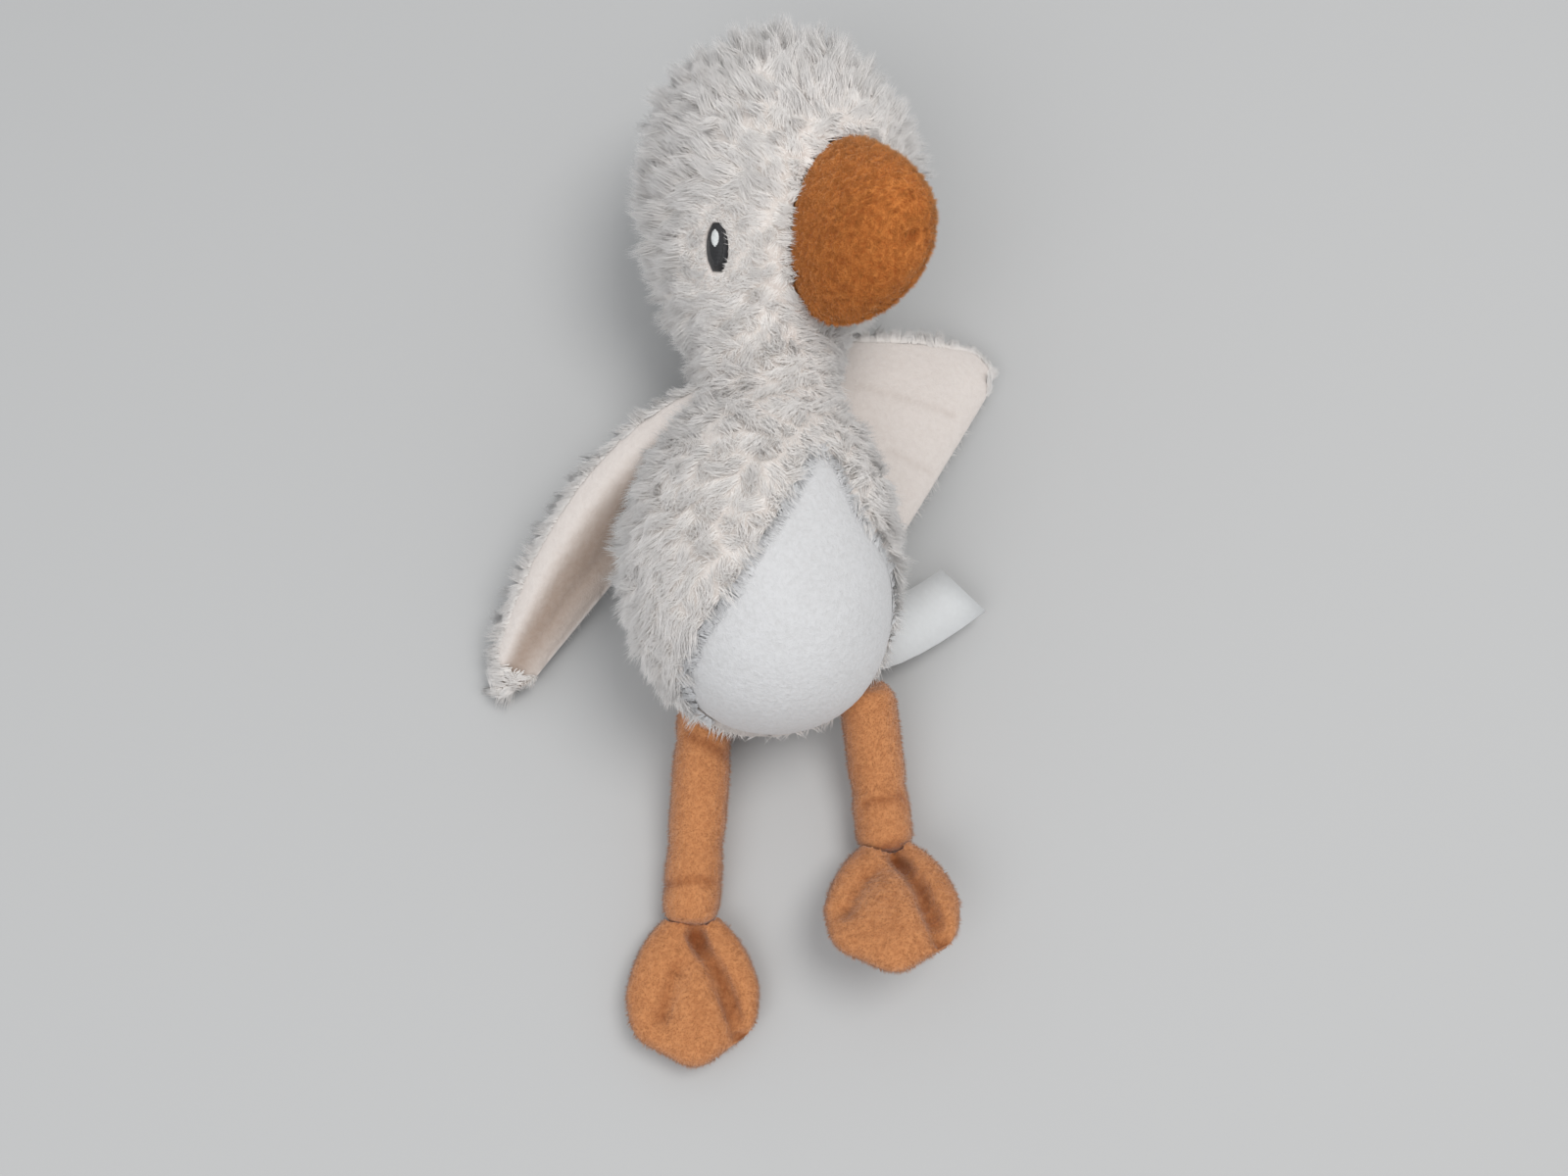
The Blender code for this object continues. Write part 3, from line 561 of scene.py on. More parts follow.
def open_sheet(node, neighbours, keep=None, cuts=1, skin=None):
    """The uncovered faces of a node or of its skin, finely divided, with their normals."""
    if skin is None:
        work = merged_copy(node)
    else:
        work = bmesh.new()
        work.from_mesh(skin.data)
    layer = work.verts.layers.float_vector.new("outward")
    covered = [face for face in work.faces
               if neighbours.ray_cast(face.calc_center_median() - face.normal * MERGE,
                                      face.normal, TOUCH)[0] is not None]
    bmesh.ops.delete(work, geom=covered, context="FACES")
    if cuts:
        bmesh.ops.subdivide_edges(work, edges=work.edges[:], cuts=cuts, use_grid_fill=True)
    dropped = [face for face in work.faces
               if keep is not None and not keep(face.calc_center_median(), face.normal)]
    work.normal_update()
    for vertex in work.verts:
        vertex[layer] = vertex.normal
    bmesh.ops.delete(work, geom=dropped, context="FACES")
    return to_object(f"{node}_emitter", work)


def smooth_step(low, high, value):
    share = min(1.0, max(0.0, (value - low) / (high - low)))
    return share * share * (3.0 - 2.0 * share)


def write_hair_values(sheet, rule):
    """rule(point, normal) gives cover, reach and nap for one point of the sheet."""
    mesh = sheet.data
    covers, reaches, naps = [], [], []
    for vertex, outward in zip(mesh.vertices, mesh.attributes["outward"].data):
        normal = Vector(outward.vector)
        cover, reach, lie = rule(vertex.co, normal)
        covers.append(cover)
        reaches.append(reach)
        naps.extend((lie - normal * lie.dot(normal)).normalized())
    store(mesh, "cover", covers)
    store(mesh, "reach", reaches)
    mesh.attributes.new("nap", "FLOAT_VECTOR", "POINT").data.foreach_set("vector", naps)


def covered_area(sheet):
    """The sheet's area, each face weighed by how densely hairs stand on it."""
    cover = sheet.data.attributes["cover"].data
    return sum(face.area * sum(cover[index].value for index in face.vertices)
               / len(face.vertices) for face in sheet.data.polygons)


print("nodes that can cover the body:", len(NODES) - 1)

# %% [markdown]
# One hair is a plain three-sided spike of four faces. It is copied more than two hundred
# thousand times, so its faces go into the number of hairs and not into a bend for each.

# %% The strand
def pattern_object(name, work):
    """An object that a tree copies, and that isn't seen itself."""
    pattern = to_object(name, work)
    pattern.data.shade_smooth()
    pattern.hide_render = True
    pattern.hide_viewport = True
    return pattern


def make_strand():
    """A closed spike along +Z, one unit long and wide, that knows how far along it is."""
    work = bmesh.new()
    along = work.verts.layers.float.new("along")
    ring = [work.verts.new((math.cos(angle) / 2, math.sin(angle) / 2, 0.0))
            for angle in (math.radians(turn) for turn in (90, 210, 330))]
    tip = work.verts.new((0, 0, 1))
    tip[along] = 1.0
    work.faces.new(list(reversed(ring)))
    for side in range(3):
        work.faces.new((ring[side], ring[(side + 1) % 3], tip))
    return pattern_object("strand", work)


strand = make_strand()
print("faces of a strand:", len(strand.data.polygons))

# %% [markdown]
# The pile tree scatters tuft centres at even distances and hairs at random between them. Each
# hair looks up its nearest tuft and leans to the tuft's own tip, so that the hairs of a tuft
# gather to a point, as brushed and handled plush does. Nothing reaches below the table.

# %% The pile tree
TABLE_GAP = 0.0003
MOST_TUFTS = 4e6


def make_pile_tree():
    inputs = [("Geometry", "NodeSocketGeometry", None), ("Strand", "NodeSocketObject", None),
              ("Material", "NodeSocketMaterial", None), ("Density", "NodeSocketFloat", 1e6),
              ("Length", "NodeSocketFloat", 0.006), ("Width", "NodeSocketFloat", 0.0004),
              ("Rise", "NodeSocketFloat", 0.6), ("Lean", "NodeSocketFloat", 0.8),
              ("Stray", "NodeSocketFloat", 0.4), ("Tuft Spacing", "NodeSocketFloat", 0.0024),
              ("Gather", "NodeSocketFloat", 0.8), ("Frizz", "NodeSocketFloat", 0.1),
              ("Seed", "NodeSocketInt", 1)]
    tree, given, result = new_group("pile", "GeometryNodeTree", inputs,
                                    [("Geometry", "NodeSocketGeometry")])

    def stored(name, data_type):
        return put(tree, "GeometryNodeInputNamedAttribute", {"Name": name}, data_type=data_type)

    def chance(low, high, seed, **feeds):
        return put(tree, "FunctionNodeRandomValue", {2: low, 3: high, "Seed": seed, **feeds},
                   data_type="FLOAT")

    def scatter(seed):
        return put(tree, "FunctionNodeRandomValue", {
            0: (-1.0, -1.0, -1.0), 1: (1.0, 1.0, 1.0), "Seed": seed}, data_type="FLOAT_VECTOR")

    position = put(tree, "GeometryNodeInputPosition")
    outward = vector_of(tree, "NORMALIZE", stored("outward", "FLOAT_VECTOR"))
    centres = put(tree, "GeometryNodeDistributePointsOnFaces", {
        "Mesh": given["Geometry"], "Distance Min": given["Tuft Spacing"], "Density Max": MOST_TUFTS,
        "Seed": given["Seed"]}, distribute_method="POISSON")
    lay = vector_of(tree, "ADD", scaled(tree, outward, given["Rise"]),
                    scaled(tree, stored("nap", "FLOAT_VECTOR"), given["Lean"]))
    lay = vector_of(tree, "ADD", lay, scaled(tree, scatter(11), given["Stray"]))
    size = math_of(tree, "MULTIPLY", given["Length"], stored("reach", "FLOAT"))
    size = math_of(tree, "MULTIPLY", size, chance(0.70, 1.20, 12))
    tuft = scaled(tree, vector_of(tree, "NORMALIZE", lay), size)
    centres = put(tree, "GeometryNodeStoreNamedAttribute", {
        "Geometry": centres, "Name": "tuft", "Value": tuft}, data_type="FLOAT_VECTOR",
        domain="POINT")

    roots = put(tree, "GeometryNodeDistributePointsOnFaces", {
        "Mesh": given["Geometry"],
        "Density": math_of(tree, "MULTIPLY", given["Density"], stored("cover", "FLOAT")),
        "Seed": math_of(tree, "ADD", given["Seed"], 1.0)}, distribute_method="RANDOM")
    nearest = put(tree, "GeometryNodeSampleNearest", {"Geometry": centres})
    centre = put(tree, "GeometryNodeSampleIndex", {
        "Geometry": centres, "Value": position, "Index": nearest}, data_type="FLOAT_VECTOR")
    aim = put(tree, "GeometryNodeSampleIndex", {
        "Geometry": centres, "Value": stored("tuft", "FLOAT_VECTOR"), "Index": nearest},
        data_type="FLOAT_VECTOR")
    pull = scaled(tree, vector_of(tree, "SUBTRACT", centre, position), given["Gather"])
    stretch = scaled(tree, aim, chance(0.72, 1.08, 13))
    fray = scaled(tree, scatter(14), math_of(tree, "MULTIPLY", given["Frizz"],
                                             given["Length"]))
    hair = vector_of(tree, "ADD", vector_of(tree, "ADD", pull, stretch), fray)
    length = put(tree, "ShaderNodeVectorMath", {0: hair}, out="Value", operation="LENGTH")
    turn = put(tree, "FunctionNodeAxesToRotation", {
        "Primary Axis": vector_of(tree, "NORMALIZE", hair),
        "Secondary Axis": vector_of(tree, "CROSS_PRODUCT", outward, hair)},
        primary_axis="Z", secondary_axis="X")
    width = math_of(tree, "MULTIPLY", given["Width"], chance(0.7, 1.2, 15))
    scale = put(tree, "ShaderNodeCombineXYZ", {"X": width, "Y": width, "Z": length})
    shade = math_of(tree, "ADD", chance(0.0, 0.6, 16, ID=nearest), chance(0.0, 0.4, 17))
    roots = put(tree, "GeometryNodeStoreNamedAttribute", {
        "Geometry": roots, "Name": "shade", "Value": shade}, data_type="FLOAT", domain="POINT")
    hairs = put(tree, "GeometryNodeInstanceOnPoints", {
        "Points": roots, "Instance": put(tree, "GeometryNodeObjectInfo", {
            "Object": given["Strand"]}, out="Geometry"), "Rotation": turn, "Scale": scale})
    hairs = put(tree, "GeometryNodeRealizeInstances", {"Geometry": hairs})
    split = tree.nodes.new("ShaderNodeSeparateXYZ")
    tree.links.new(position, split.inputs[0])
    lifted = put(tree, "ShaderNodeCombineXYZ", {
        "X": split.outputs["X"], "Y": split.outputs["Y"],
        "Z": math_of(tree, "MAXIMUM", split.outputs["Z"], TABLE_GAP)})
    hairs = put(tree, "GeometryNodeSetPosition", {"Geometry": hairs, "Position": lifted})
    hairs = put(tree, "GeometryNodeSetMaterial", {"Geometry": hairs,
                                                  "Material": given["Material"]})
    tree.links.new(hairs, result.inputs["Geometry"])
    return tree


PILE_TREE = make_pile_tree()
print("pile tree:", len(PILE_TREE.nodes), "nodes")

# %% [markdown]
# Light goes into real pile and comes out between the fibres, so that it shades as one soft
# surface, while solid spikes each have a hard light side and a dark one. A shader that lets
# light through is one answer. Here the spikes' normals are turned most of the way to the
# cloth's own, which is simple and is kept in the mesh.

# %% Growing pile
SOFT_SHARE = 0.70
LEAST_UPWARD = 0.2
SPARE_VALUES = ("cover", "reach", "outward", "nap")


def soften_normals(thing):
    """Turn each hair's normals towards the cloth's own, so that the pile shades as one."""
    mesh = thing.data
    outward = np.zeros(3 * len(mesh.vertices), dtype=np.float32)
    own = np.zeros(3 * len(mesh.vertices), dtype=np.float32)
    mesh.attributes["outward"].data.foreach_get("vector", outward)
    outward[2::3] = np.maximum(outward[2::3], LEAST_UPWARD)
    mesh.vertex_normals.foreach_get("vector", own)
    mixed = (outward * SOFT_SHARE + own * (1.0 - SOFT_SHARE)).reshape(-1, 3)
    mixed /= np.maximum(np.linalg.norm(mixed, axis=1, keepdims=True), 1e-6)
    mesh.normals_split_custom_set_from_vertices(mixed)


def run_tree(thing, tree, settings):
    """Put an object through a geometry tree and keep the plain mesh that comes out."""
    modifier = thing.modifiers.new(tree.name, "NODES")
    modifier.node_group = tree
    for item in tree.interface.items_tree:
        if item.in_out == "INPUT" and item.name in settings:
            modifier[item.identifier] = settings[item.name]
    return baked(thing)


def triangles_of(thing):
    return sum(len(face.vertices) - 2 for face in thing.data.polygons)


def grow(name, sheet, slot, material, hairs, **sizes):
    """Grow about that many hairs on an emitter and turn them into a plain mesh."""
    run_tree(sheet, PILE_TREE, {
        "Strand": strand, "Material": material, "Density": hairs / covered_area(sheet),
        **{label.replace("_", " "): value for label, value in sizes.items()}})
    soften_normals(sheet)
    for spare in SPARE_VALUES:
        if spare in sheet.data.attributes:
            sheet.data.attributes.remove(sheet.data.attributes[spare])
    sheet.name = name
    sheet.data.name = name
    print(name, "triangles:", triangles_of(sheet))
    return finish_piece(sheet)


print("share of the cloth in the hairs' normals:", SOFT_SHARE)

# %% [markdown]
# The long pile of the body is longest and most tufted on the crown and the back of the head. It
# is brushed short round the eyes, the beak's foot and the throat, and middling on the flanks.
# It lies away from the face on the head, and down from the throat on the torso. Beside the belly
# panel and the beak it leans over the seam, so that no gap shows. Each pair below is where a
# change starts and where it is complete.

# %% The body's pile
def middle_of(node):
    low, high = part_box(node)
    return (Vector(low) + Vector(high)) / 2


def at_least(least, share):
    """From the least up to 1, as the share goes from 0 to 1."""
    return least + (1.0 - least) * share


FACE = middle_of("beak")
EYES = [middle_of("eye_right"), middle_of("eye_left")]
THROAT = Vector((0.004, 0.060, 0.045))
TORSO_LINE = 0.048
NECK_LINE = 0.062
HEAD_LINE = 0.096
THROAT_TO_HEAD = (NECK_LINE - 0.008, NECK_LINE + 0.016)
FACE_TO_CROWN = (0.020, 0.042)
EYE_TO_LONG = (0.005, 0.013)
EYE_TO_STRAIGHT = (0.006, 0.011)
NEIGHBOUR_TO_LONG = (0.0005, 0.006)
SEAM_TO_OPEN = (0.001, 0.006)
BEAK_TO_OPEN = (0.0010, 0.0050)
FLANK_TO_TABLE = (0.026, 0.014)
SHORT_PILE = 0.62
EYE_PILE = 0.30
TRIMMED_PILE = 0.60
SEAM_PILE = 1.25
EYE_PARTING = 1.5
SEAM_LEAN = 2.0
TABLE_LEAN = 5.0
BEAK_LEAN = 3.0
TABLE_TRIM = 0.5
FACING_DOWN = -0.4
UNDERSIDE_COVER = 0.40
LYING_HEIGHT = 0.0008

body_neighbours = others("plush_body")
body_tree = bvh_of(["plush_body"])
belly_tree = bvh_of(["belly_panel"])
beak_tree = bvh_of(["beak"])


def body_rule(point, normal):
    headward = smooth_step(*THROAT_TO_HEAD, point.y)
    lie = (point - FACE).normalized() * headward
    lie += (point - THROAT).normalized() * (1.0 - headward)
    crown = smooth_step(*FACE_TO_CROWN, (point - FACE).length)
    length = at_least(SHORT_PILE, crown * headward)
    for eye in EYES:
        away = point - eye
        length *= at_least(EYE_PILE, smooth_step(*EYE_TO_LONG, away.length))
        parting = 1.0 - smooth_step(*EYE_TO_STRAIGHT, away.length)
        lie += away.normalized() * EYE_PARTING * parting
    gap = body_neighbours.find_nearest(point)[3]
    trimmed = at_least(TRIMMED_PILE, smooth_step(*NEIGHBOUR_TO_LONG, gap))
    seam = belly_tree.find_nearest(point)
    near_seam = 1.0 - smooth_step(*SEAM_TO_OPEN, seam[3])
    under = near_seam * smooth_step(*FLANK_TO_TABLE, point.z)
    lie += (seam[0] - point).normalized() * (SEAM_LEAN * near_seam - TABLE_LEAN * under)
    rim = beak_tree.find_nearest(point)
    near_beak = 1.0 - smooth_step(*BEAK_TO_OPEN, rim[3])
    lie += (rim[0] - point).normalized() * BEAK_LEAN * near_beak
    length *= max(trimmed, SEAM_PILE * near_seam, near_beak) * (1.0 - TABLE_TRIM * under)
    cover = UNDERSIDE_COVER if normal.z < FACING_DOWN else 1.0
    if point.z < LYING_HEIGHT:
        cover = 0.0
    return cover, length, lie


BODY_PARTS = {
    "pile_crown": lambda middle, normal: middle.y > HEAD_LINE,
    "pile_neck": lambda middle, normal: TORSO_LINE < middle.y <= HEAD_LINE,
    "pile_torso": lambda middle, normal: middle.y <= TORSO_LINE,
}
open_points = []
for seed, (name, region) in enumerate(BODY_PARTS.items()):
    sheet = open_sheet("plush_body", body_neighbours, region)
    open_points += [vertex.co.copy() for vertex in sheet.data.vertices]
    write_hair_values(sheet, body_rule)
    print(name, "area:", round(covered_area(sheet) * 1e6), "mm2")
    grow(name, sheet, "pile", pile_strands, 42000, Length=0.0058, Width=0.00022,
         Rise=0.50, Lean=0.60, Stray=0.55, Tuft_Spacing=0.0026, Gather=0.50, Frizz=0.20,
         Seed=10 * seed + 1)

# %% [markdown]
# A wing is a sheet of the same pile with a smooth lining. The pile shows as a shaggy border
# round the lining, long at the leading edge and trimmed at the trailing one. The sewn edges are
# curves, each set by three guiding points, so that hairs can be told how near an edge they are.

# %% The wings' edges
WING_LINES = {
    "wing_right": {
        "leading": ((-0.0125, 0.0425, 0.0300), (-0.0430, 0.0290, 0.0265),
                    (-0.0570, -0.0080, 0.0048)),
        "tip": ((-0.0570, -0.0080, 0.0048), (-0.0590, -0.0155, 0.0055),
                (-0.0508, -0.0157, 0.0040)),
        "trailing": ((-0.0235, 0.0130, 0.0180), (-0.0358, 0.0050, 0.0045),
                     (-0.0508, -0.0157, 0.0040))},
    "wing_left": {
        "leading": ((0.0120, 0.0610, 0.0190), (0.0330, 0.0650, 0.0120),
                    (0.0500, 0.0660, 0.0036)),
        "tip": ((0.0500, 0.0660, 0.0036), (0.0590, 0.0650, 0.0040), (0.0527, 0.0553, 0.0034)),
        "trailing": ((0.0250, 0.0050, 0.0130), (0.0410, 0.0334, 0.0072),
                     (0.0527, 0.0553, 0.0034))},
}
LINE_STEPS = 200
SHARES = [step / LINE_STEPS for step in range(LINE_STEPS + 1)]


def along_line(points, share):
    """A point of the curve with three guiding points."""
    first, second, third = (Vector(point) for point in points)
    return first.lerp(second, share).lerp(second.lerp(third, share), share)


def edge_tree(wing, lines):
    return search_tree([along_line(WING_LINES[wing][line], share)
                        for line in lines for share in SHARES])


print("points along each edge:", len(SHARES))

# %% [markdown]
# The right wing is folded along a crest, and the lining inside it lies in its shade, which is
# painted into the lining's colour as a dark band beside the crest. The left wing's lining has two
# shallow creases, painted darker as shade. A cloth simulation could make such a fold. Here the
# lining is pressed in along the line that the solids are folded along, so that both agree.

# %% The pressed linings
FOLDS = {"wing_right": ((-0.0140, 0.0320, 0.0318), (-0.0335, 0.0235, 0.0270),
                        (-0.0550, -0.0124, 0.0055))}
CREASES = {"wing_left": (((0.0217, 0.0496), (0.0443, 0.0464)),
                         ((0.0292, 0.0343), (0.0385, 0.0318)))}
FOLD_START = (-0.0018, 0.0020)
FOLD_END = (0.0020, 0.0095)
FOLD_SHADE = 0.88
CREASE_SHADE = 0.16
CREASE_WIDTH = 0.0008
DARKEST_LINING = 0.9
PRESS_DEPTH = 0.0009


def fold_shade(place, crest, trail_points):
    """How deep in the fold's shade a place lies, on the side of the trailing edge."""
    point, index, away = crest.find(place)
    inner = (place - point).dot((trail_points[index] - point).normalized())
    return FOLD_SHADE * smooth_step(*FOLD_START, inner) * (1.0 - smooth_step(*FOLD_END, inner))


def press_lining(wing):
    """Sink the lining along its fold and its creases, and paint their shade into it."""
    mesh = lining_skins[wing].data
    hollows = [CREASE_SHADE * line_shade(vertex.co, CREASES.get(wing, ()), CREASE_WIDTH)
               for vertex in mesh.vertices]
    if wing in FOLDS:
        trail_points = [flat(along_line(WING_LINES[wing]["trailing"], share)) for share in SHARES]
        crest = search_tree([flat(along_line(FOLDS[wing], share)) for share in SHARES])
        for vertex in mesh.vertices:
            hollows[vertex.index] += fold_shade(flat(vertex.co), crest, trail_points)
    store(mesh, "hollow", [min(DARKEST_LINING, hollow) if vertex.normal.z > 0.2 else 0.0
                           for vertex, hollow in zip(mesh.vertices, hollows)])
    sink_hollows(lining_skins[wing], PRESS_DEPTH)


for wing in WINGS:
    press_lining(wing)
print("lining faces:", [len(skin.data.polygons) for skin in lining_skins.values()])

# %% [markdown]
# The hairs of a wing lie outwards from its middle line and a little towards its tip. Real pile
# also curls over the sewn edge, so a narrow rim of the lining carries hairs too.

# %% The wings' pile
TRIMMED_CORNER = Vector((0.0530, 0.0655, 0.0040))
CORNER_TO_LONG = (0.003, 0.011)
RIM_WIDTH = {"wing_right": (0.0030, 0.0004), "wing_left": (0.0022, 0.0009)}
BODY_TO_LONG = (0.0005, 0.005)
TRAILING_TO_LEADING = (-0.003, 0.004)
TIP_LEAN = 0.5


def wing_rules(wing):
    """Which faces are rim, and the rules for hairs on the outer sheet and on the rim."""
    lines = WING_LINES[wing]
    front = edge_tree(wing, ["leading", "tip"])
    back = edge_tree(wing, ["trailing"])
    axis = (Vector(lines["tip"][1]) - along_line([lines["leading"][0]] * 2
                                                 + [lines["trailing"][0]], 0.5)).normalized()

    def leading(point):
        """1 at the leading edge and the tip, 0 at the trailing edge."""
        return smooth_step(*TRAILING_TO_LEADING, back.find(point)[2] - front.find(point)[2])

    def corner(point):
        return smooth_step(*CORNER_TO_LONG, (point - TRIMMED_CORNER).length)

    def outward_lie(point):
        middle = (Vector(front.find(point)[0]) + Vector(back.find(point)[0])) / 2
        across = point - middle
        across -= axis * across.dot(axis)
        return across.normalized() + axis * TIP_LEAN

    def near_rim(middle, normal):
        wide, narrow = RIM_WIDTH[wing]
        return normal.z > 0.1 and (front.find(middle)[2] < wide or back.find(middle)[2] < narrow)

    def outer_rule(point, normal):
        gap = body_tree.find_nearest(point)[3]
        length = at_least(0.45, leading(point)) * at_least(0.45, corner(point))
        length *= at_least(0.5, smooth_step(*BODY_TO_LONG, gap))
        cover = 0.25 if normal.z < -0.5 else 1.0
        return cover, length, outward_lie(point)

    def rim_rule(point, normal):
        length = at_least(0.35, leading(point)) * at_least(0.4, corner(point))
        return 1.0, length, outward_lie(point)
    return near_rim, outer_rule, rim_rule


for seed, wing in enumerate(WINGS):
    near_rim, outer_rule, rim_rule = wing_rules(wing)
    sheet = open_sheet(f"{wing}_outer", others(f"{wing}_outer"))
    write_hair_values(sheet, outer_rule)
    grow(f"pile_{wing}", sheet, "pile", pile_strands, 11000, Length=0.0050, Width=0.00020,
         Rise=0.50, Lean=0.60, Stray=0.50, Tuft_Spacing=0.0020, Gather=0.40, Frizz=0.16,
         Seed=10 * seed + 51)
    sheet = open_sheet(f"{wing}_lining", others(f"{wing}_lining"), near_rim, 2)
    write_hair_values(sheet, rim_rule)
    print(wing, "rim area:", round(covered_area(sheet) * 1e6), "mm2")
    grow(f"pile_{wing}_rim", sheet, "pile", pile_strands, 4000, Length=0.0030, Width=0.00020,
         Rise=0.40, Lean=0.80, Stray=0.50, Tuft_Spacing=0.0018, Gather=0.25, Frizz=0.22,
         Seed=10 * seed + 71)

# %% [markdown]
# Short fuzz softens the outline and the mottling of the beak, the legs and the feet. Its
# fibres stand almost upright, so they are seen end on and only the creases look dark, from real
# shadow and from shade painted into the fibres there.

# %% The short fuzz
DOWN = Vector((0, -1, 0))
NEIGHBOUR_TO_FUZZ = (0.0003, 0.002)
SHORT_SKINS = {"beak": beak_skin, **limb_skins}
# How many hairs, their material, slot and lie, their length, gathering and tuft spacing.
FUZZ = {
    "beak": (27000, beak_strands, "beak", Vector((0.46, -0.68, 0.57)), 0.0011, 0.45, 0.0012),
    "leg_right": (7500, leg_strands, "leg", DOWN, 0.0008, 0.15, 0.0010),
    "leg_left": (6500, leg_strands, "leg", DOWN, 0.0008, 0.15, 0.0010),
    "foot_right": (9500, leg_strands, "leg", DOWN, 0.0008, 0.15, 0.0010),
    "foot_left": (9500, leg_strands, "leg", DOWN, 0.0008, 0.15, 0.0010),
}
for seed, (node, (hairs, material, slot, lie, height, gather, clump)) in enumerate(FUZZ.items()):
    neighbours = others(node)
    sheet = open_sheet(node, neighbours, cuts=0, skin=SHORT_SKINS[node])

    def fuzz_rule(point, normal):
        gap = neighbours.find_nearest(point)[3]
        length = at_least(0.6, smooth_step(*NEIGHBOUR_TO_FUZZ, gap))
        cover = 0.0 if point.z < LYING_HEIGHT / 2 else 1.0
        return cover, length, lie
    write_hair_values(sheet, fuzz_rule)
    grow(f"fuzz_{node}", sheet, slot, material, hairs, Length=height, Width=0.00012,
         Rise=1.0, Lean=0.35, Stray=0.50, Tuft_Spacing=clump, Gather=gather, Frizz=0.30,
         Seed=10 * seed + 101)

# %% [markdown]
# The belly panel is let into the pile. Its own short fibres are combed out over the seam, so
# that no gap shows between the two cloths.

# %% The panel's edge
EDGE_WIDTH = 0.0028
open_cloth = search_tree(open_points)


def near_seam_line(middle, normal):
    return normal.z > -0.2 and open_cloth.find(middle)[2] < EDGE_WIDTH


def edge_rule(point, normal):
    return 1.0, 1.0, Vector(open_cloth.find(point)[0]) - point


edge_sheet = open_sheet("belly_panel", bvh_of(["leg_right", "leg_left"]), near_seam_line, 2)
write_hair_values(edge_sheet, edge_rule)
print("panel edge area:", round(covered_area(edge_sheet) * 1e6), "mm2")
grow("fuzz_panel_edge", edge_sheet, "belly", belly_strands, 6000, Length=0.0026, Width=0.00018,
     Rise=0.40, Lean=1.00, Stray=0.35, Tuft_Spacing=0.0012, Gather=0.20, Frizz=0.25, Seed=151)

# %% [markdown]
# The eyes are satin stitch: one black thread laid to and fro across a small oval, close enough
# to hide the cloth, and a few turns of white thread for the glint. A bump map would look flat
# from the side, so each thread is a mesh.

# %% The thread
def make_thread():
    """A thread along X, one unit long and thick, with rounded ends."""
    stations = [(-0.5, 0.0), (-0.45, 0.6), (-0.3, 1.0), (0.0, 1.0), (0.3, 1.0), (0.45, 0.6),
                (0.5, 0.0)]
    sides = 6
    work = bmesh.new()
    first = work.verts.new((stations[0][0], 0, 0))
    rings = [[work.verts.new((x, size / 2 * math.cos(2 * math.pi * side / sides),
                              size / 2 * math.sin(2 * math.pi * side / sides)))
              for side in range(sides)] for x, size in stations[1:-1]]
    last = work.verts.new((stations[-1][0], 0, 0))
    for side in range(sides):
        after = (side + 1) % sides
        work.faces.new((first, rings[0][after], rings[0][side]))
        for lower, upper in zip(rings, rings[1:]):
            work.faces.new((lower[side], lower[after], upper[after], upper[side]))
        work.faces.new((last, rings[-1][side], rings[-1][after]))
    bmesh.ops.recalc_face_normals(work, faces=work.faces)
    return pattern_object("thread", work)


thread = make_thread()
print("faces of a thread:", len(thread.data.polygons))

# %% [markdown]
# The satin tree lays a row of threads along the oval, each as wide as the oval is there. It then
# moves them to the nearest points of the eye's rounded surface and lifts them by their height.

# %% The satin tree
START_HEIGHT = 0.0015
NARROWEST = 0.06


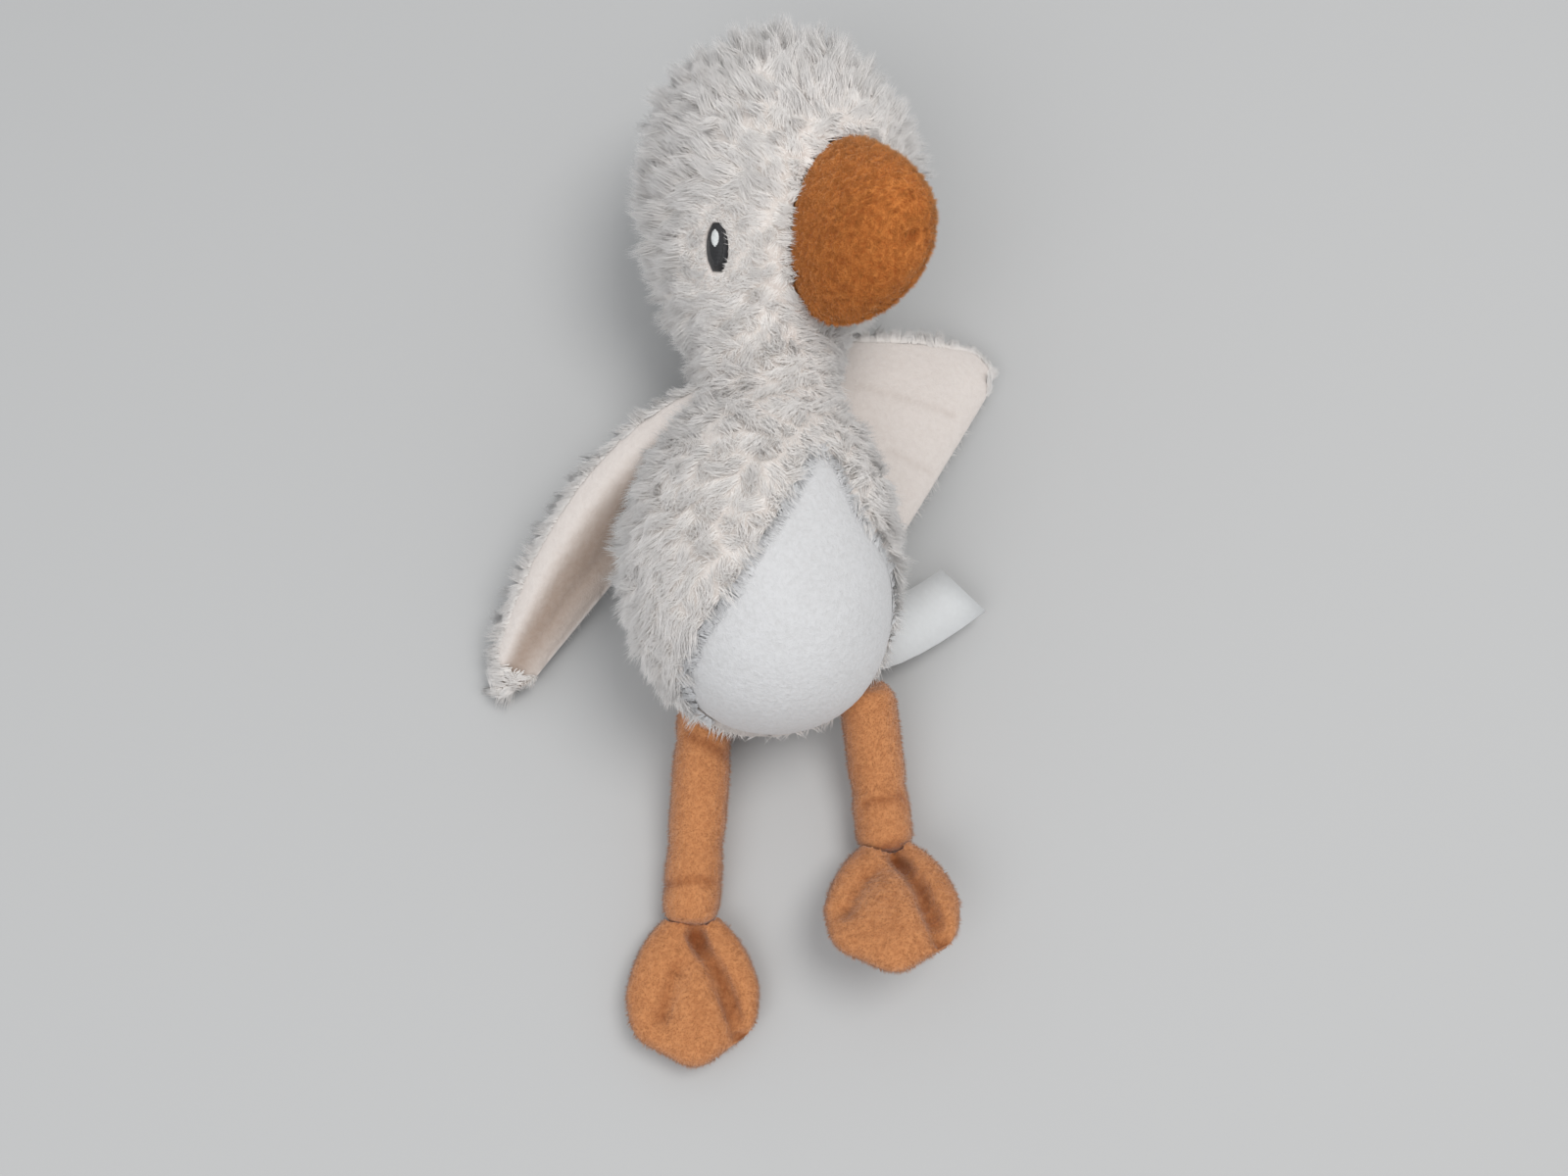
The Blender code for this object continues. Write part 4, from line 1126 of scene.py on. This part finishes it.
def make_satin_tree():
    tree, given, result = new_group("satin_stitches", "GeometryNodeTree", [
        ("Geometry", "NodeSocketGeometry", None), ("Thread", "NodeSocketObject", None),
        ("Material", "NodeSocketMaterial", None), ("Rows", "NodeSocketInt", 30),
        ("Width", "NodeSocketFloat", 0.005), ("Height", "NodeSocketFloat", 0.010),
        ("Thickness", "NodeSocketFloat", 0.0004), ("Lift", "NodeSocketFloat", 0.0001),
        ("Centre", "NodeSocketVector", None), ("Across", "NodeSocketVector", None),
        ("Up", "NodeSocketVector", None), ("Forward", "NodeSocketVector", None),
        ("Seed", "NodeSocketInt", 1)], [("Geometry", "NodeSocketGeometry")])
    half = math_of(tree, "MULTIPLY", given["Height"], -0.5)
    pitch = math_of(tree, "DIVIDE", given["Height"], math_of(tree, "SUBTRACT", given["Rows"], 1.0))
    rows = put(tree, "GeometryNodeMeshLine", {
        "Count": given["Rows"], "Start Location": put(tree, "ShaderNodeCombineXYZ", {"Y": half}),
        "Offset": put(tree, "ShaderNodeCombineXYZ", {"Y": pitch})}, mode="OFFSET")
    position = put(tree, "GeometryNodeInputPosition")
    height_at = put(tree, "ShaderNodeSeparateXYZ", {0: position}, out="Y")
    share = math_of(tree, "DIVIDE", height_at, half)
    chord = math_of(tree, "SQRT", math_of(tree, "MAXIMUM", math_of(
        tree, "SUBTRACT", 1.0, math_of(tree, "MULTIPLY", share, share)), NARROWEST))
    ragged = put(tree, "FunctionNodeRandomValue", {2: 0.93, 3: 1.0, "Seed": given["Seed"]},
                 data_type="FLOAT")
    length = math_of(tree, "MULTIPLY", math_of(tree, "MULTIPLY", chord, ragged), given["Width"])
    threads = put(tree, "GeometryNodeInstanceOnPoints", {
        "Points": rows,
        "Instance": put(tree, "GeometryNodeObjectInfo", {"Object": given["Thread"]},
                        out="Geometry"),
        "Scale": put(tree, "ShaderNodeCombineXYZ", {"X": length, "Y": given["Thickness"],
                                                    "Z": given["Thickness"]})})
    threads = put(tree, "GeometryNodeRealizeInstances", {"Geometry": threads})
    split = tree.nodes.new("ShaderNodeSeparateXYZ")
    tree.links.new(position, split.inputs[0])
    oval = vector_of(tree, "ADD", given["Centre"], vector_of(
        tree, "ADD", scaled(tree, given["Across"], split.outputs["X"]),
        scaled(tree, given["Up"], split.outputs["Y"])))
    start = vector_of(tree, "ADD", oval, scaled(tree, given["Forward"], START_HEIGHT))
    surface = put(tree, "GeometryNodeConvexHull", {"Geometry": given["Geometry"]})
    hit = put(tree, "GeometryNodeProximity", {0: surface, 2: start}, out="Position")
    rise = math_of(tree, "ADD", split.outputs["Z"], given["Lift"])
    laid = vector_of(tree, "ADD", hit, scaled(tree, given["Forward"], rise))
    threads = put(tree, "GeometryNodeSetPosition", {"Geometry": threads, "Position": laid})
    threads = put(tree, "GeometryNodeSetMaterial", {"Geometry": threads,
                                                    "Material": given["Material"]})
    tree.links.new(threads, result.inputs["Geometry"])
    return tree


SATIN_TREE = make_satin_tree()
print("satin tree:", len(SATIN_TREE.nodes), "nodes")

# %% [markdown]
# Thread is smoother than plush and has a tight gleam. The oval's place, turn and size are
# measured on the CAD node, and the head's middle only tells which way is outwards.

# %% The eyes
BLACK_THREAD = (0.014, 0.014, 0.016)
WHITE_THREAD = (0.72, 0.74, 0.73)
THREAD_DEPTH = 0.6
THREAD_SPECULAR = 0.5
HEAD_MIDDLE = Vector((0.0048, 0.095, 0.0295))
BLACK_ROWS = 34
WHITE_ROWS = 12
BLACK_LIFT = 0.0001
WHITE_LIFT = 0.0004
ROW_WIDTH = 0.96
ROWS_HEIGHT = 0.94
ROW_OVERLAP = 1.5


def satin_material(name, colour):
    material = cloth(name, 0.38, 0.15, PLUSH_GROUP, {
        "Colour": opaque(colour), "Deep Colour": opaque([part * THREAD_DEPTH for part in colour]),
        "Clump Size": 0.0006, "Fibre Size": 0.00008, "Relief": 0.00003, "Mottle": 0.5})
    shader_of(material).inputs["Specular IOR Level"].default_value = THREAD_SPECULAR
    return material


black_satin = satin_material("black_satin", BLACK_THREAD)
white_satin = satin_material("white_satin", WHITE_THREAD)


def patch_axes(node):
    """The middle of an oval patch, its axes and its two sizes."""
    points = np.array([vertex.co[:] for vertex in NODES[node].data.vertices])
    middle = points.mean(axis=0)
    axes = np.linalg.eigh(np.cov((points - middle).T))[1].T
    forward, across, up = (Vector(axis) for axis in axes)
    if forward.dot(Vector(middle) - HEAD_MIDDLE) < 0:
        forward.negate()
    if up.y < 0:
        up.negate()
    spread = [np.ptp((points - middle) @ np.array(axis)) for axis in (across, up)]
    return Vector(middle), up.cross(forward), up, forward, spread


def lay_satin(name, node, surface, material, rows, lift, seed):
    middle, across, up, forward, (width, height) = patch_axes(node)
    piece = to_object(name, merged_copy(surface))
    run_tree(piece, SATIN_TREE, {
        "Thread": thread, "Material": material, "Rows": rows, "Width": width * ROW_WIDTH,
        "Height": height * ROWS_HEIGHT, "Lift": lift,
        "Thickness": ROW_OVERLAP * height / rows,
        "Centre": middle, "Across": across, "Up": up, "Forward": forward, "Seed": seed})
    piece.data.shade_smooth()
    return finish_piece(piece)


for side, label in enumerate(("right", "left")):
    make_skin(f"eye_{label}_base", f"eye_{label}", black_satin, 0)
    make_skin(f"glint_{label}_base", f"eye_{label}_glint", white_satin, 0)
    black = lay_satin(f"eye_{label}_stitches", f"eye_{label}", f"eye_{label}",
                      black_satin, BLACK_ROWS, BLACK_LIFT, side + 1)
    white = lay_satin(f"glint_{label}_stitches", f"eye_{label}_glint", f"eye_{label}",
                      white_satin, WHITE_ROWS, WHITE_LIFT, side + 5)
    print("eye", label, "threads:", len(black.data.polygons) + len(white.data.polygons), "faces")

# %% [markdown]
# The label is a folded satin ribbon, left bare. Its threads cross at a third of a millimetre,
# which is too fine to model, so two crossed waves in the material show it as a grid that catches
# the light. The waves are turned to run along the ribbon.

# %% The ribbon label
RIBBON_TURN = math.radians(26)
WARP_PITCH = 0.00030
WEFT_PITCH = 0.00042


def ribbon_material():
    material = new_material("woven_ribbon", 0.5, 0.1)
    shader = shader_of(material)
    tree = material.node_tree
    place = put(tree, "ShaderNodeTexCoord", out="Object")
    turned = put(tree, "ShaderNodeMapping", {"Vector": place, "Rotation": (0, 0, -RIBBON_TURN)})
    split = tree.nodes.new("ShaderNodeSeparateXYZ")
    tree.links.new(turned, split.inputs[0])
    threads = [math_of(tree, "SINE", math_of(tree, "MULTIPLY", split.outputs[axis],
                                             2 * math.pi / pitch))
               for axis, pitch in (("X", WARP_PITCH), ("Y", WEFT_PITCH))]
    weave = math_of(tree, "MULTIPLY", *threads)
    flecks = put(tree, "ShaderNodeTexNoise", {"Vector": place, "Scale": 900.0, "Detail": 3.0},
                 out=0)
    share = math_of(tree, "ADD", math_of(tree, "MULTIPLY", weave, 0.16),
                    math_of(tree, "MULTIPLY", flecks, 0.35), clamp=True)
    colour = put(tree, "ShaderNodeMix", {"Factor": share, 6: opaque(RIBBON),
                                         7: opaque(RIBBON_DEEP)}, data_type="RGBA")
    normal = put(tree, "ShaderNodeBump", {
        "Height": math_of(tree, "MULTIPLY", weave, 0.00004), "Distance": 1.0}, out="Normal")
    tree.links.new(colour, shader.inputs["Base Color"])
    tree.links.new(normal, shader.inputs["Normal"])
    return material


label_skin = make_skin("label_skin", "side_label", ribbon_material(), 0)
print("label faces:", len(label_skin.data.polygons))

# %% [markdown]
# The stage is a plain pale table under soft studio light: a broad light high on the right, a
# weaker one from the lower left, and a pale surround that fills the shadows. Large lights close
# by give the soft shadow edges that fur has in a bright room.

# %% Stage and light
TABLE_REACH = 2.0
TABLE_COLOUR = (0.45, 0.45, 0.445)
LIGHT_TARGET = Vector((0, 0.02, 0))
SURROUND_COLOUR = (0.80, 0.82, 0.85)
SURROUND_STRENGTH = 0.76

work = bmesh.new()
bmesh.ops.create_grid(work, x_segments=1, y_segments=1, size=TABLE_REACH)
table_finish = new_material("pale_table", 0.7, 0.0)
shader_of(table_finish).inputs["Base Color"].default_value = opaque(TABLE_COLOUR)
to_object("table", work, table_finish)


def add_light(name, place, size, power, colour):
    data = bpy.data.lights.new(name, "AREA")
    data.shape = "DISK"
    data.size = size
    data.energy = power
    data.color = colour
    light = bpy.data.objects.new(name, data)
    light.location = place
    light.rotation_euler = (LIGHT_TARGET - Vector(place)).to_track_quat("-Z", "Y").to_euler()
    bpy.context.scene.collection.objects.link(light)


add_light("window", (0.38, 0.05, 1.00), 0.60, 5.4, (1.0, 0.99, 0.98))
add_light("fill", (-0.35, -0.65, 0.80), 0.80, 4.0, (0.97, 0.98, 1.0))
world = bpy.data.worlds.new("surround")
world.use_nodes = True
background = world.node_tree.nodes["Background"].inputs
background["Color"].default_value = opaque(SURROUND_COLOUR)
background["Strength"].default_value = SURROUND_STRENGTH
bpy.context.scene.world = world
bpy.context.scene.view_settings.view_transform = "Standard"
print("lights:", len(bpy.data.lights))

# %% [markdown]
# The strand and the thread were only patterns, so they go.

# %% The end
for pattern in (strand, thread):
    bpy.data.objects.remove(pattern)
